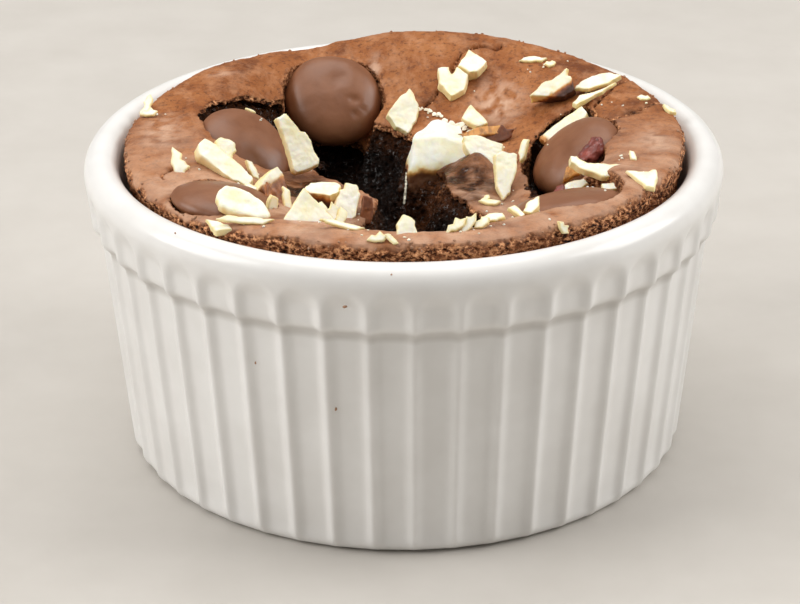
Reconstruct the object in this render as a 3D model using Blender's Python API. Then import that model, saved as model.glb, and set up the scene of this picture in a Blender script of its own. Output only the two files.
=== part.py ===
"""A chocolate brownie baked in a white fluted ramekin, with chocolate buttons, a white chunk and almonds.

Metres, +Z up. The origin is the middle of the dish's foot, the front of the dish faces -Y, and angles
round the dish are in degrees, from +X towards +Y. The brownie fills the dish, stands a little above its
lip and has sunk in the middle, where the crust is torn open over a molten pit.

Heights on the brownie are counted in millimetres from the lip of the dish, positive upwards.
"""

import math
import random

import bmesh
import bpy
from mathutils import Matrix, Vector

MM = 0.001

# The dish
DISH_HEIGHT = 49.2 * MM
DISH_RADIUS = 50.0 * MM
LIP_WIDTH = 5.5 * MM
LIP_RISE = 3.0 * MM  # height of the lip's rounding
LEDGE_HEIGHT = 38.9 * MM
FLOOR_HEIGHT = 5.0 * MM
FLUTES = 46
FLUTE_DEPTH = 1.1 * MM
FLUTE_CORNERS = 3
FIRST_RIDGE = 1.7  # degrees past the front
INNER_RADIUS = DISH_RADIUS - LIP_WIDTH
INNER_FOOT_RADIUS = 40.5 * MM

# The brownie
GAP = 0.3 * MM  # left between pieces that touch
SPOKES = 60
RINGS = 14
CRUST_EDGE = 44.1  # radius of its edge, mm
CREST_RADIUS = 41.5  # radius of the highest line of its ring, mm
SUNKEN = -6.0  # height of the middle
EDGE_ROUNDING = 0.12
ABOVE = 12.0  # height that every cutter of the crust reaches up to

# Height of the ring of crust, round the dish
CREST = [
    (0, 1.6), (20, 1.7), (39, 2.2), (55, 2.8), (68, 3.4), (80, 3.7), (92, 3.4), (103, 2.2),
    (112, 1.3), (122, 2.0), (137, 2.1), (152, 1.5), (165, 0.9), (190, 0.7), (215, 0.2), (235, 0.9),
    (255, 1.5), (275, 1.6), (300, 1.8), (330, 1.7),
]
# Radius where the crust starts to fall inwards, and where it reaches the middle's height
FALL_FROM = [
    (0, 34), (40, 41), (80, 41), (108, 41), (128, 40), (145, 37), (165, 33), (190, 32), (215, 37),
    (225, 37), (245, 40), (280, 41), (300, 40), (322, 39), (340, 36),
]
FALL_TO = [
    (0, 14), (40, 12), (80, 12), (108, 20), (128, 22), (150, 18), (180, 16), (215, 14), (250, 18),
    (280, 24), (300, 24), (322, 24), (340, 20),
]

# Where the crust is torn open: the outline of the tear, seen from above, and the height of its floor
PIT = [
    (-1, 17), (0.5, 13), (0.5, 6), (2, 4), (6, 4), (8.5, -4), (11, -10), (14.5, -17), (17, -21),
    (17, -27), (14, -33), (7, -37.5), (-1, -38), (-7, -35.5), (-8, -28), (-6, -18), (-4.5, -9),
    (-8, -4), (-13, 1), (-15, 8), (-17, 14), (-18, 22), (-15, 26), (-8, 26), (-4, 22),
]
PIT_FLOOR = -15.0
BEHIND_LEFT_BUTTON = [
    (-32.5, 8), (-31.5, 14), (-28, 18), (-23, 21.5), (-18.5, 25), (-15, 24), (-14, 12), (-24, 8),
]
BESIDE_RIGHT_BUTTON = [
    (29, 14.5), (24, 12.5), (20.5, 8), (19.3, 1), (19.7, -7), (21, -13), (27, -13), (31, -8), (31, 8),
]
CREVICE_FLOOR = -8.5
PIT_TAPER = 0.84  # size of a tear at its floor, as a share of its outline

BUTTON_SIDES = 24
BUTTON_PROFILE = [(0.80, 0.0), (0.96, 0.12), (1.0, 0.30), (0.93, 0.55), (0.72, 0.82), (0.40, 0.96)]
# Each button: the middle of its flat underside, the way its dome faces, its radius and height, and how
# far above the underside the crust stays clear of it
BUTTONS = {
    "button_back": ((-11.8, 30.0, -5.2), (0.05, -0.70, 0.71), 8.1, 5.4, 9.0),
    "button_left": ((-25.8, 7.6, -5.0), (0.50, -0.33, 0.82), 7.7, 4.8, 8.0),
    "button_front_left": ((-26.9, -23.2, -2.0), (0.15, 0.08, 1.0), 7.7, 3.6, 6.0),
    "button_right": ((28.2, 2.0, -4.5), (-0.58, -0.22, 0.79), 7.7, 4.5, 8.0),
    "button_front_right": ((24.8, -23.0, -2.7), (-0.15, 0.30, 1.0), 8.1, 3.4, 6.0),
}

CHUNK_SIZE = (9.2, 9.6, 8.4)
CHUNK_CENTRE = (5.5, 9.7, -6.6)
CHUNK_TURN = 4.0

# Each chip of almond: length, width at its low end, width at its high end, belly, thickness, centre,
# the way its broad face looks, and the heading of its length
CHIPS = {
    "almond_bar": (10.0, 3.2, 2.6, 0.2, 2.2, (-26.9, -11.8, 0.4), (0.2, -0.55, 0.8), -28),
    "almond_bar_flake": (4.0, 2.4, 2.0, 0.3, 0.9, (-27.0, -8.6, 2.2), (0.2, -0.75, 0.6), -44),
    "almond_wedge": (10.0, 2.2, 4.8, 0.0, 2.4, (-16.6, 1.4, -0.9), (0.2, -0.8, 0.55), -46),
    "almond_edge_chip": (5.0, 1.0, 2.4, 0.2, 1.0, (-27.2, -34.0, 0.4), (0.0, -0.2, 1.0), -36),
    "almond_skin_side": (6.6, 3.6, 4.2, 0.6, 2.6, (-19.8, -16.6, -1.0), (0.5, -0.6, 0.6), -64),
    "almond_sliver": (4.0, 1.2, 1.6, 0.2, 1.2, (-22.3, -17.6, -1.2), (0.1, -0.4, 0.9), -41),
    "almond_triangle": (8.4, 9.8, 0.8, 0.0, 2.4, (-14.3, -31.8, 1.0), (0.1, -0.7, 0.7), 100),
    "almond_cross_cut": (5.6, 2.8, 3.4, 0.5, 3.4, (-12.6, -12.6, -3.9), (0.0, -0.3, 0.95), -19),
    "almond_block": (6.0, 3.0, 2.8, 0.4, 2.4, (-8.4, -15.0, -4.3), (0.1, -0.8, 0.6), 76),
    "almond_dark_bit": (4.2, 2.0, 1.6, 0.3, 2.2, (-5.7, -15.0, -5.6), (0.1, -0.8, 0.6), 78),
    "almond_on_lip": (3.8, 3.4, 1.6, 0.4, 1.6, (0.0, -38.7, 2.2), (0.1, -0.8, 0.6), 100),
    "almond_by_back_button": (7.6, 3.8, 1.8, 1.0, 2.2, (1.2, 20.6, -2.4), (0.1, -0.7, 0.7), 62),
    "almond_back_low": (5.8, 3.2, 3.6, 1.1, 2.2, (8.5, 25.8, 0.2), (0.0, -0.5, 0.86), -72),
    "almond_back_high": (5.8, 2.0, 2.6, 1.6, 2.2, (11.6, 28.8, 2.2), (0.0, -0.5, 0.86), -80),
    "almond_toasted": (8.0, 1.0, 5.2, 0.0, 2.6, (23.5, 17.6, 1.5), (-0.1, -0.75, 0.65), 9),
    "almond_rim_slice": (8.8, 1.6, 1.0, 1.7, 1.2, (31.6, 18.8, 2.5), (-0.1, -0.3, 0.95), 8),
    "almond_rim_sliver": (8.4, 1.8, 0.5, 0.1, 1.0, (31.0, 15.2, 2.2), (-0.1, -0.3, 0.95), 28),
    "almond_strip": (9.2, 2.0, 2.2, 0.0, 2.2, (25.7, 9.0, -1.4), (-0.2, -0.6, 0.8), 22),
    "almond_skin_strip": (8.0, 1.4, 2.0, 0.1, 1.6, (12.2, 11.6, -3.7), (0.0, -0.5, 0.86), 11),
    "almond_corner": (4.4, 2.8, 0.8, 0.0, 1.8, (12.0, 15.8, -2.8), (0.0, -0.7, 0.7), -28),
    "almond_by_chunk": (7.8, 2.6, 4.8, 0.4, 2.2, (12.5, 5.3, -3.6), (0.0, -0.7, 0.7), -20),
    "almond_hanging": (8.6, 1.2, 4.2, 0.2, 1.4, (15.5, -4.2, -4.5), (0.2, -0.8, 0.6), 77),
    "almond_shelf_sliver": (4.2, 1.2, 0.8, 0.1, 1.0, (19.0, 3.6, -3.2), (-0.3, -0.7, 0.6), 57),
    "almond_low_wedge": (4.6, 1.2, 2.4, 0.2, 1.4, (25.8, -15.2, -2.2), (0.0, -0.4, 0.9), 8),
    "almond_orange_chip": (2.8, 0.6, 2.2, 0.1, 1.3, (25.3, -12.8, -0.9), (0.0, -0.7, 0.7), 33),
    "almond_small_block": (3.0, 1.4, 1.6, 0.2, 1.3, (31.4, -18.0, -0.6), (0.0, -0.4, 0.9), 4),
    "almond_curl": (10.2, 1.8, 1.8, 0.9, 1.6, (29.3, -15.6, 1.1), (0.0, -0.5, 0.86), -26),
    "almond_right_flake": (6.8, 4.4, 1.4, 0.3, 1.0, (36.8, -21.3, 2.0), (0.05, -0.1, 1.0), -79),
    "almond_front_wedge": (4.0, 2.0, 0.6, 0.0, 1.1, (19.0, -31.0, 1.8), (0.0, -0.4, 0.9), 52),
    "almond_front_sliver": (3.0, 1.2, 1.0, 0.1, 1.0, (16.4, -32.4, 1.4), (0.0, -0.4, 0.9), -50),
    "almond_front_flake": (3.4, 1.6, 1.2, 0.2, 0.9, (13.2, -34.6, 1.4), (0.0, -0.4, 0.9), 11),
    "red_chip": (5.0, 3.2, 2.8, 0.5, 1.8, (28.9, -4.4, -0.2), (-0.5, -0.3, 0.8), 42),
}
CHIP_JITTER = 0.2  # share of its narrower end that a chip's corners wander
CHIP_TAPER = 0.86  # size of a chip's upper face, as a share of its lower one

HALF_KERNEL = (8.8, 4.8, 1.8)  # length, width, thickness
HALF_KERNEL_PLACE = ((-23.2, -30.6, 1.4), (0.1, -0.55, 0.82), -21)
HALF_KERNEL_CORNERS = 12


def finish(name, colour, roughness):
    """A plain Principled material."""
    material = bpy.data.materials.new(name)
    material.use_nodes = True
    shader = material.node_tree.nodes["Principled BSDF"]
    shader.inputs["Base Color"].default_value = (*colour, 1.0)
    shader.inputs["Roughness"].default_value = roughness
    shader.inputs["Metallic"].default_value = 0.0
    return material


def object_from(bm, name, material=None, smooth_below=None):
    """Makes the bmesh a named object. Edges flatter than smooth_below degrees are shaded smooth.
    Without a material it is a cutter, which isn't part of the model."""
    if material is None:
        name += "_clearance"
    bmesh.ops.recalc_face_normals(bm, faces=bm.faces)
    if bm.calc_volume(signed=True) < 0:
        bmesh.ops.reverse_faces(bm, faces=bm.faces)
    mesh = bpy.data.meshes.new(name)
    bm.to_mesh(mesh)
    bm.free()
    piece = bpy.data.objects.new(name, mesh)
    bpy.context.scene.collection.objects.link(piece)
    if material is None:
        piece.hide_render = True
        piece.display_type = "WIRE"
    else:
        mesh.materials.append(material)
    if smooth_below:
        mesh.shade_smooth()
        mesh.set_sharp_from_angle(angle=math.radians(smooth_below))
    return piece


def ease(value):
    """0 to 1, with soft ends."""
    value = min(max(value, 0.0), 1.0)
    return value * value * (3 - 2 * value)


def round_the_dish(angle, stations):
    """A value that changes smoothly from one (angle, value) station to the next, right round."""
    angle = (angle - stations[0][0]) % 360 + stations[0][0]
    closed = stations + [(stations[0][0] + 360, stations[0][1])]
    for (a, low), (b, high) in zip(closed, closed[1:]):
        if angle <= b:
            return low + (high - low) * ease((angle - a) / (b - a))


def band(bm, lower, upper):
    """Joins two rings, of which one may have several corners to each corner of the other."""
    if len(lower) == len(upper):
        for i, corner in enumerate(lower):
            j = (i + 1) % len(lower)
            bm.faces.new((corner, lower[j], upper[j], upper[i]))
        return
    few, many = sorted((lower, upper), key=len)
    share = len(many) // len(few)
    for i, corner in enumerate(few):
        fan = [many[(i * share + k) % len(many)] for k in range(share + 1)]
        for a, b in zip(fan, fan[1:]):
            bm.faces.new((corner, a, b))
        bm.faces.new((corner, fan[-1], few[(i + 1) % len(few)]))


def fan(bm, ring, point):
    """Closes a ring with triangles to one point."""
    middle = bm.verts.new(point)
    for i, corner in enumerate(ring):
        bm.faces.new((middle, corner, ring[(i + 1) % len(ring)]))


def round_ring(bm, radius, height, corners):
    angles = [2 * math.pi * i / corners for i in range(corners)]
    return [bm.verts.new((radius * math.cos(a), radius * math.sin(a), height)) for a in angles]


def placed(centre, normal, heading):
    """Lays local +Z along normal, with local +X pointing at the heading when seen from above. The centre
    is in mm, and its height counts from the lip."""
    up = Vector(normal).normalized()
    east, north = math.cos(math.radians(heading)), math.sin(math.radians(heading))
    along = Vector((east, north, -(up.x * east + up.y * north) / up.z)).normalized()
    turn = Matrix((along, up.cross(along), up)).transposed().to_4x4()
    x, y, height = centre
    return Matrix.Translation((x * MM, y * MM, DISH_HEIGHT + height * MM)) @ turn


# ---------------------------------------------------------------- the ramekin


def fluted_ring(bm, radius, height, hollow):
    """A ring of the outer wall; hollow is the share of the flutes' full depth that it has."""
    ring = []
    for i in range(FLUTES * FLUTE_CORNERS):
        across = 2 * (i % FLUTE_CORNERS) / FLUTE_CORNERS - 1
        angle = math.radians(270 + FIRST_RIDGE) + 2 * math.pi * i / (FLUTES * FLUTE_CORNERS)
        reach = radius - hollow * FLUTE_DEPTH * (1 - across**2)
        ring.append(bm.verts.new((reach * math.cos(angle), reach * math.sin(angle), height)))
    return ring


def plain_ring(bm, radius, height):
    """A ring with a corner at each ridge only."""
    start = math.radians(270 + FIRST_RIDGE)
    angles = [start + 2 * math.pi * i / FLUTES for i in range(FLUTES)]
    return [bm.verts.new((radius * math.cos(a), radius * math.sin(a), height)) for a in angles]


def ramekin():
    """A turned cup with a rounded lip, a flared collar over a ledge, and flutes down to its foot."""
    bm = bmesh.new()
    shoulder = DISH_HEIGHT - LIP_RISE
    rings = [
        plain_ring(bm, 41.0 * MM, 0.0),
        plain_ring(bm, 43.1 * MM, 0.5 * MM),
        fluted_ring(bm, 44.2 * MM, 1.6 * MM, 0.3),
        fluted_ring(bm, 44.9 * MM, 4.6 * MM, 1.0),
        fluted_ring(bm, 48.0 * MM, LEDGE_HEIGHT - 1.3 * MM, 1.0),
        fluted_ring(bm, 49.3 * MM, LEDGE_HEIGHT, 1.0),
        fluted_ring(bm, 49.8 * MM, shoulder - 2.6 * MM, 1.0),
        fluted_ring(bm, 50.0 * MM, shoulder - 0.9 * MM, 0.5),
        plain_ring(bm, DISH_RADIUS, shoulder),
    ]
    middle_of_lip = DISH_RADIUS - LIP_WIDTH / 2
    for turn in (30, 60, 90, 120, 150, 180):
        out = math.cos(math.radians(turn)) * LIP_WIDTH / 2
        up = math.sin(math.radians(turn)) * LIP_RISE
        rings.append(plain_ring(bm, middle_of_lip + out, shoulder + up))
    rings.append(plain_ring(bm, INNER_FOOT_RADIUS + 1.0 * MM, FLOOR_HEIGHT + 4.5 * MM))
    rings.append(plain_ring(bm, INNER_FOOT_RADIUS - 3.0 * MM, FLOOR_HEIGHT))
    for lower, upper in zip(rings, rings[1:]):
        band(bm, lower, upper)
    fan(bm, rings[0], (0, 0, 0))
    fan(bm, rings[-1], (0, 0, FLOOR_HEIGHT))
    return object_from(bm, "ramekin", finish("white_glaze", (0.86, 0.85, 0.83), 0.15), 40)


# ---------------------------------------------------------------- the brownie


def crust_height(x, y):
    """Height of the whole crust at x, y in mm, before it tore."""
    radius = math.hypot(x, y)
    angle = math.degrees(math.atan2(y, x))
    crest = round_the_dish(angle, CREST)
    start = round_the_dish(angle, FALL_FROM)
    end = round_the_dish(angle, FALL_TO)
    height = crest + (SUNKEN - crest) * ease((start - radius) / (start - end))
    return height - EDGE_ROUNDING * max(radius - CREST_RADIUS, 0.0) ** 2


def brownie():
    """The baked brownie, down to the floor of the dish, under an even skin."""
    bm = bmesh.new()
    rings = []
    for k in range(RINGS):
        radius = CRUST_EDGE * (k + 1) / RINGS
        ring = round_ring(bm, radius * MM, 0.0, SPOKES)
        for corner in ring:
            corner.co.z = DISH_HEIGHT + crust_height(corner.co.x / MM, corner.co.y / MM) * MM
        rings.append(ring)
    rings.append(round_ring(bm, INNER_RADIUS - 2 * GAP, DISH_HEIGHT - LIP_RISE, SPOKES))
    rings.append(round_ring(bm, INNER_FOOT_RADIUS + 2 * GAP, FLOOR_HEIGHT + 4.9 * MM, SPOKES))
    rings.append(round_ring(bm, INNER_FOOT_RADIUS - 3.6 * MM, FLOOR_HEIGHT + GAP, SPOKES))
    for inner, outer in zip(rings, rings[1:]):
        band(bm, inner, outer)
    fan(bm, rings[0], (0, 0, DISH_HEIGHT + crust_height(0, 0) * MM))
    fan(bm, rings[-1], (0, 0, FLOOR_HEIGHT + GAP))
    return object_from(bm, "brownie", finish("chocolate_crumb", (0.30, 0.13, 0.06), 0.6), 50)


def tear(name, outline, floor):
    """A cutter for one opening in the crust: its outline from above, narrowing to its floor."""
    bm = bmesh.new()
    centre = Vector((sum(x for x, _ in outline), sum(y for _, y in outline))) / len(outline)
    rings = []
    for height, size in ((floor, PIT_TAPER), (SUNKEN, 1.0), (ABOVE, 1.0)):
        ring = []
        for point in outline:
            x, y = centre + (Vector(point) - centre) * size
            ring.append(bm.verts.new((x * MM, y * MM, DISH_HEIGHT + height * MM)))
        rings.append(ring)
    for lower, upper in zip(rings, rings[1:]):
        band(bm, lower, upper)
    bm.faces.new(rings[0])
    bm.faces.new(rings[-1])
    return object_from(bm, name)


# ---------------------------------------------------------------- the toppings


def button(name, material=None, grow=0.0):
    """A softened chocolate button: flat below, with a full round edge and a low dome. Its cutter goes
    straight up from the widest line, where the crust stays clear of it."""
    centre, normal, wide, tall, clear = BUTTONS[name]
    radius, height = wide * MM + grow, tall * MM + 2 * grow
    profile = [(out * radius, up * height - grow) for out, up in BUTTON_PROFILE]
    peak = height - grow
    if material is None:
        profile = profile[:3] + [(radius, clear * MM)]
        peak = clear * MM
    bm = bmesh.new()
    rings = [round_ring(bm, out, up, BUTTON_SIDES) for out, up in profile]
    for lower, upper in zip(rings, rings[1:]):
        band(bm, lower, upper)
    fan(bm, rings[0], (0, 0, -grow))
    fan(bm, rings[-1], (0, 0, peak))
    bm.transform(placed(centre, normal, 0.0))
    return object_from(bm, name, material, 50 if material else None)


def chunk(name, material=None, grow=0.0):
    """A block of white chocolate with softened edges and a wider, melted foot."""
    bm = bmesh.new()
    half = [side * MM / 2 + grow for side in CHUNK_SIZE]
    rings = []
    for height, size in ((-1.0, 1.04), (0.55, 1.0), (1.0, 0.84)):
        ring = []
        for sx, sy in ((-1, -0.7), (-0.7, -1), (0.7, -1), (1, -0.7), (1, 0.7), (0.7, 1), (-0.7, 1), (-1, 0.7)):
            ring.append(bm.verts.new((sx * half[0] * size, sy * half[1] * size, height * half[2])))
        rings.append(ring)
    for lower, upper in zip(rings, rings[1:]):
        band(bm, lower, upper)
    bm.faces.new(rings[0])
    bm.faces.new(rings[-1])
    bm.transform(placed(CHUNK_CENTRE, (0.0, -0.06, 1.0), CHUNK_TURN))
    return object_from(bm, name, material)


def chip(name, material=None, grow=0.0):
    """A chopped piece of almond: six corners, its upper face smaller and tilted."""
    length, low, high, belly, thick, centre, normal, heading = CHIPS[name]
    rng = random.Random(name)
    middle = (low + high) / 4 + belly
    outline = [
        (-length / 2, -low / 2), (0, -middle), (length / 2, -high / 2),
        (length / 2, high / 2), (0, middle), (-length / 2, low / 2),
    ]
    wander = CHIP_JITTER * min(low, high)
    bm = bmesh.new()
    rings = ([], [])
    for x, y in outline:
        x += rng.uniform(-wander, wander)
        y += rng.uniform(-wander, wander)
        lean = rng.uniform(-0.15, 0.15) * thick
        x += math.copysign(grow / MM, x) if abs(x) > wander else 0.0
        y += math.copysign(grow / MM, y)
        for ring, size, height in ((rings[0], 1.0, -thick / 2), (rings[1], CHIP_TAPER, thick / 2 + lean)):
            height += math.copysign(grow / MM, height)
            ring.append(bm.verts.new((x * size * MM, y * size * MM, height * MM)))
    band(bm, *rings)
    bm.faces.new(rings[0])
    bm.faces.new(rings[1])
    bmesh.ops.triangulate(bm, faces=bm.faces)
    bm.transform(placed(centre, normal, heading))
    return object_from(bm, name, material)


def half_kernel(name, material=None, grow=0.0):
    """An almond split along its length, pointed at one end, with its cut face up."""
    length, width, thick = (side * MM for side in HALF_KERNEL)
    bm = bmesh.new()
    rings = []
    for size, height in ((0.55, -thick / 2 - grow), (0.92, 0.0), (1.0, thick / 2 + grow)):
        ring = []
        for i in range(HALF_KERNEL_CORNERS):
            turn = 2 * math.pi * i / HALF_KERNEL_CORNERS
            x = (length / 2 + grow) * math.cos(turn)
            y = (width / 2 + grow) * math.sin(turn) * (1 - 0.3 * math.cos(turn))
            ring.append(bm.verts.new((x * size, y * size, height)))
        rings.append(ring)
    for lower, upper in zip(rings, rings[1:]):
        band(bm, lower, upper)
    bm.faces.new(rings[0])
    bm.faces.new(rings[-1])
    bm.transform(placed(*HALF_KERNEL_PLACE))
    return object_from(bm, name, material)


def boxes_meet(a, b):
    spans = []
    for piece in (a, b):
        corners = [Vector(corner) for corner in piece.bound_box]
        spans.append([(min(c[i] for c in corners), max(c[i] for c in corners)) for i in range(3)])
    return all(p[0] < q[1] and q[0] < p[1] for p, q in zip(*spans))


def cut(piece, cutters):
    """Takes the cutters that reach the piece out of it, in one Boolean."""
    near = [cutter for cutter in cutters if boxes_meet(piece, cutter)]
    if not near:
        return
    group = bpy.data.collections.new(piece.name + "_clearances")
    bpy.context.scene.collection.children.link(group)
    for cutter in near:
        group.objects.link(cutter)
    modifier = piece.modifiers.new("clearance", "BOOLEAN")
    modifier.operation = "DIFFERENCE"
    modifier.solver = "EXACT"
    modifier.operand_type = "COLLECTION"
    modifier.collection = group


for old in list(bpy.data.objects):
    bpy.data.objects.remove(old, do_unlink=True)

ramekin()
baked = brownie()
milk = finish("milk_chocolate", (0.24, 0.11, 0.06), 0.35)
white = finish("white_chocolate", (0.93, 0.88, 0.74), 0.4)
almond = finish("chopped_almond", (0.92, 0.84, 0.64), 0.55)
red = finish("red_brown_chip", (0.28, 0.07, 0.06), 0.5)

# Lowest first: each topping is cut back where a later one rests on it, and the brownie where any does
toppings = [(button, name, milk) for name in BUTTONS]
toppings.append((chunk, "white_chunk", white))
toppings.append((half_kernel, "almond_half_kernel", almond))
toppings += [(chip, name, red if name == "red_chip" else almond) for name in CHIPS]
pieces = [shape(name, material) for shape, name, material in toppings]
clearances = [shape(name, grow=GAP) for shape, name, _ in toppings]
for i, piece in enumerate(pieces):
    cut(piece, clearances[i + 1 :])
cut(
    baked,
    clearances
    + [
        tear("tear_in_the_middle", PIT, PIT_FLOOR),
        tear("tear_behind_left_button", BEHIND_LEFT_BUTTON, CREVICE_FLOOR),
        tear("tear_beside_right_button", BESIDE_RIGHT_BUTTON, CREVICE_FLOOR),
    ],
)
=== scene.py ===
"""The looks of a chocolate brownie baked in a white fluted ramekin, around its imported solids."""

import math
import random
from contextlib import contextmanager

import bpy
import numpy as np
from mathutils import Matrix, Vector, noise


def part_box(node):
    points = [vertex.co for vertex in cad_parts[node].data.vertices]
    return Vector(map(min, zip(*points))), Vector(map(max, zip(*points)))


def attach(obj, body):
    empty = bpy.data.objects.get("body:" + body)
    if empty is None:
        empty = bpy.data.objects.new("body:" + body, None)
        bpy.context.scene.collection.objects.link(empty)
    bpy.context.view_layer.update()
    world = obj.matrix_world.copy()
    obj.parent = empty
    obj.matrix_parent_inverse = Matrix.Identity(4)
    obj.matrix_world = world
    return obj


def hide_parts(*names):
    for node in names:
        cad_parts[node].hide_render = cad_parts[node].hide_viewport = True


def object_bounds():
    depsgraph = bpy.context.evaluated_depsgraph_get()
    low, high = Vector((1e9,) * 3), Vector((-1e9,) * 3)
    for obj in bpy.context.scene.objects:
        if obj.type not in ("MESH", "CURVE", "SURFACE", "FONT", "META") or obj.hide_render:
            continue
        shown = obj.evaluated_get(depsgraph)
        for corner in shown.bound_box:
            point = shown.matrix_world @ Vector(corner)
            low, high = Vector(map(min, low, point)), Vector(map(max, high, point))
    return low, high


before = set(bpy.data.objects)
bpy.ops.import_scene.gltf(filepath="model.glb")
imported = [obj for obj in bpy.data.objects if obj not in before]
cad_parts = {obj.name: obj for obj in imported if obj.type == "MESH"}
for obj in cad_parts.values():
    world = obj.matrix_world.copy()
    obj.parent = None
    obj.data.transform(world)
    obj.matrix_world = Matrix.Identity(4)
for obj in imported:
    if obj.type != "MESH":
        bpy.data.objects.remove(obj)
cad_low, cad_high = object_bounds()
MM = 0.001

# ---------------- camera
# A long lens a forearm away, looking down into the dish over the near side of its rim, so that the whole
# top and the dish's front both show.

CAMERA_DISTANCE = 0.449
CAMERA_PITCH = 27.3  # degrees down, towards the middle of the foot
CAMERA_LIFT = 2.48  # degrees back up, to frame the whole dish
CAMERA_ROLL = -0.37
CAMERA_HEADING = 0.1
CAMERA_LENS = 122.9

bpy.ops.object.select_all(action="DESELECT")
pitch = math.radians(CAMERA_PITCH)
stand = (0.0, -CAMERA_DISTANCE * math.cos(pitch), CAMERA_DISTANCE * math.sin(pitch))
bpy.ops.object.camera_add(location=stand)
camera = bpy.context.object
look = math.radians(CAMERA_PITCH - CAMERA_LIFT)
tilt = Matrix.Rotation(math.pi / 2 - look, 4, "X") @ Matrix.Rotation(math.radians(CAMERA_ROLL), 4, "Z")
camera.rotation_euler = (Matrix.Rotation(math.radians(CAMERA_HEADING), 4, "Z") @ tilt).to_euler()
camera.data.lens = CAMERA_LENS
camera.data.sensor_width = 36.0
camera.data.clip_start = 0.01
bpy.context.scene.camera = camera

# ---------------- floor and light
# A pale flat table, a big soft light over and behind the dish, one on each side, and a faint one above the
# front, so that the dish's front lies in soft shade.

FLOOR_SIZE = 3.0
FLOOR_MIDDLE = (0, 0.6, 0)
LIT_SPOT = (0, 0, 0.03)  # what every light faces
ROOM_LIGHT = 0.25
LIGHTS = (  # name, place, size, watts, colour
    ("light_overhead", (-0.10, 0.25, 0.90), 0.80, 5.2, (1.0, 0.985, 0.96)),
    ("light_left", (-0.85, -0.15, 0.55), 0.60, 6.4, (1.0, 0.99, 0.975)),
    ("light_right", (0.85, 0.05, 0.60), 0.60, 6.5, (1.0, 0.99, 0.975)),
    ("light_front", (0.0, -0.35, 1.10), 0.60, 1.2, (1.0, 0.98, 0.96)),
)


def procedural(name):
    """A new node material, its tree and its Principled shader."""
    material = bpy.data.materials.new(name)
    material.use_nodes = True
    return material, material.node_tree, material.node_tree.nodes["Principled BSDF"]


def feed(node, inputs):
    """Gives each input its value, or links it to another node's output."""
    for name, value in inputs.items():
        if isinstance(value, bpy.types.NodeSocket):
            node.id_data.links.new(value, node.inputs[name])
        else:
            node.inputs[name].default_value = value


def add_node(tree, kind, inputs, **settings):
    node = tree.nodes.new(kind)
    for name, value in settings.items():
        setattr(node, name, value)
    feed(node, inputs)
    return node


def grain(tree, scale, detail=4.0, roughness=0.55, stretch=(1, 1, 1)):
    """Noise on the piece's own coordinates; scale is in bumps for each metre."""
    place = add_node(tree, "ShaderNodeTexCoord", {}).outputs["Object"]
    spread = add_node(tree, "ShaderNodeMapping", {"Vector": place, "Scale": stretch}).outputs["Vector"]
    noise_inputs = {"Vector": spread, "Scale": scale, "Detail": detail, "Roughness": roughness}
    return add_node(tree, "ShaderNodeTexNoise", noise_inputs).outputs["Fac"]


def ramp(tree, source, stops):
    """Colours or greys against a 0 to 1 value: stops are (position, colour or grey)."""
    node = add_node(tree, "ShaderNodeValToRGB", {"Fac": source})
    elements = node.color_ramp.elements
    while len(elements) < len(stops):
        elements.new(0.5)
    for element, (position, colour) in zip(elements, stops):
        element.position = position
        element.color = (*colour, 1.0) if isinstance(colour, tuple) else (colour, colour, colour, 1.0)
    return node.outputs["Color"]


def blend_colours(tree, share, one, two):
    """A mix of two colours, each a node's output or a plain colour."""
    one, two = (c if isinstance(c, bpy.types.NodeSocket) else (*c, 1.0) for c in (one, two))
    return add_node(tree, "ShaderNodeMix", {0: share, 6: one, 7: two}, data_type="RGBA").outputs[2]


def started(name, primitive, location=(0, 0, 0), **sizes):
    """A new piece, alone selected, that starts as one of Blender's primitives."""
    bpy.ops.object.select_all(action="DESELECT")
    primitive(location=location, **sizes)
    piece = bpy.context.object
    piece.name = name
    return piece


@contextmanager
def editing():
    """Edit mode while the block lasts, with everything selected at its start."""
    bpy.ops.object.mode_set(mode="EDIT")
    bpy.ops.mesh.select_all(action="SELECT")
    yield
    bpy.ops.object.mode_set(mode="OBJECT")


floor = started("floor", bpy.ops.mesh.primitive_plane_add, FLOOR_MIDDLE, size=FLOOR_SIZE)
with editing():
    bpy.ops.mesh.subdivide(number_cuts=1)
material, tree, shader = procedural("pale_table")
tint = ramp(tree, grain(tree, 60.0), [(0.3, (0.53, 0.50, 0.46)), (0.7, (0.57, 0.54, 0.50))])
feed(shader, {"Base Color": tint, "Roughness": 0.6})
floor.data.materials.append(material)

for name, place, size, watts, colour in LIGHTS:
    bpy.ops.object.light_add(type="AREA", location=place)
    light = bpy.context.object
    light.name = name
    light.data.size = size
    light.data.energy = watts
    light.data.color = colour
    light.rotation_euler = (Vector(LIT_SPOT) - Vector(place)).to_track_quat("-Z", "Y").to_euler()

world = bpy.data.worlds.new("studio")
bpy.context.scene.world = world
world.use_nodes = True
feed(world.node_tree.nodes["Background"], {"Color": (1.0, 0.975, 0.94, 1.0), "Strength": ROOM_LIGHT})
bpy.context.scene.view_settings.view_transform = "Standard"

# ---------------- the ramekin
# A slip-cast porcelain dish under a clear glossy glaze: a rounded lip over a flared collar, a small ledge
# below it, and upright flutes pressed in from the collar to the foot.

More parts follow.
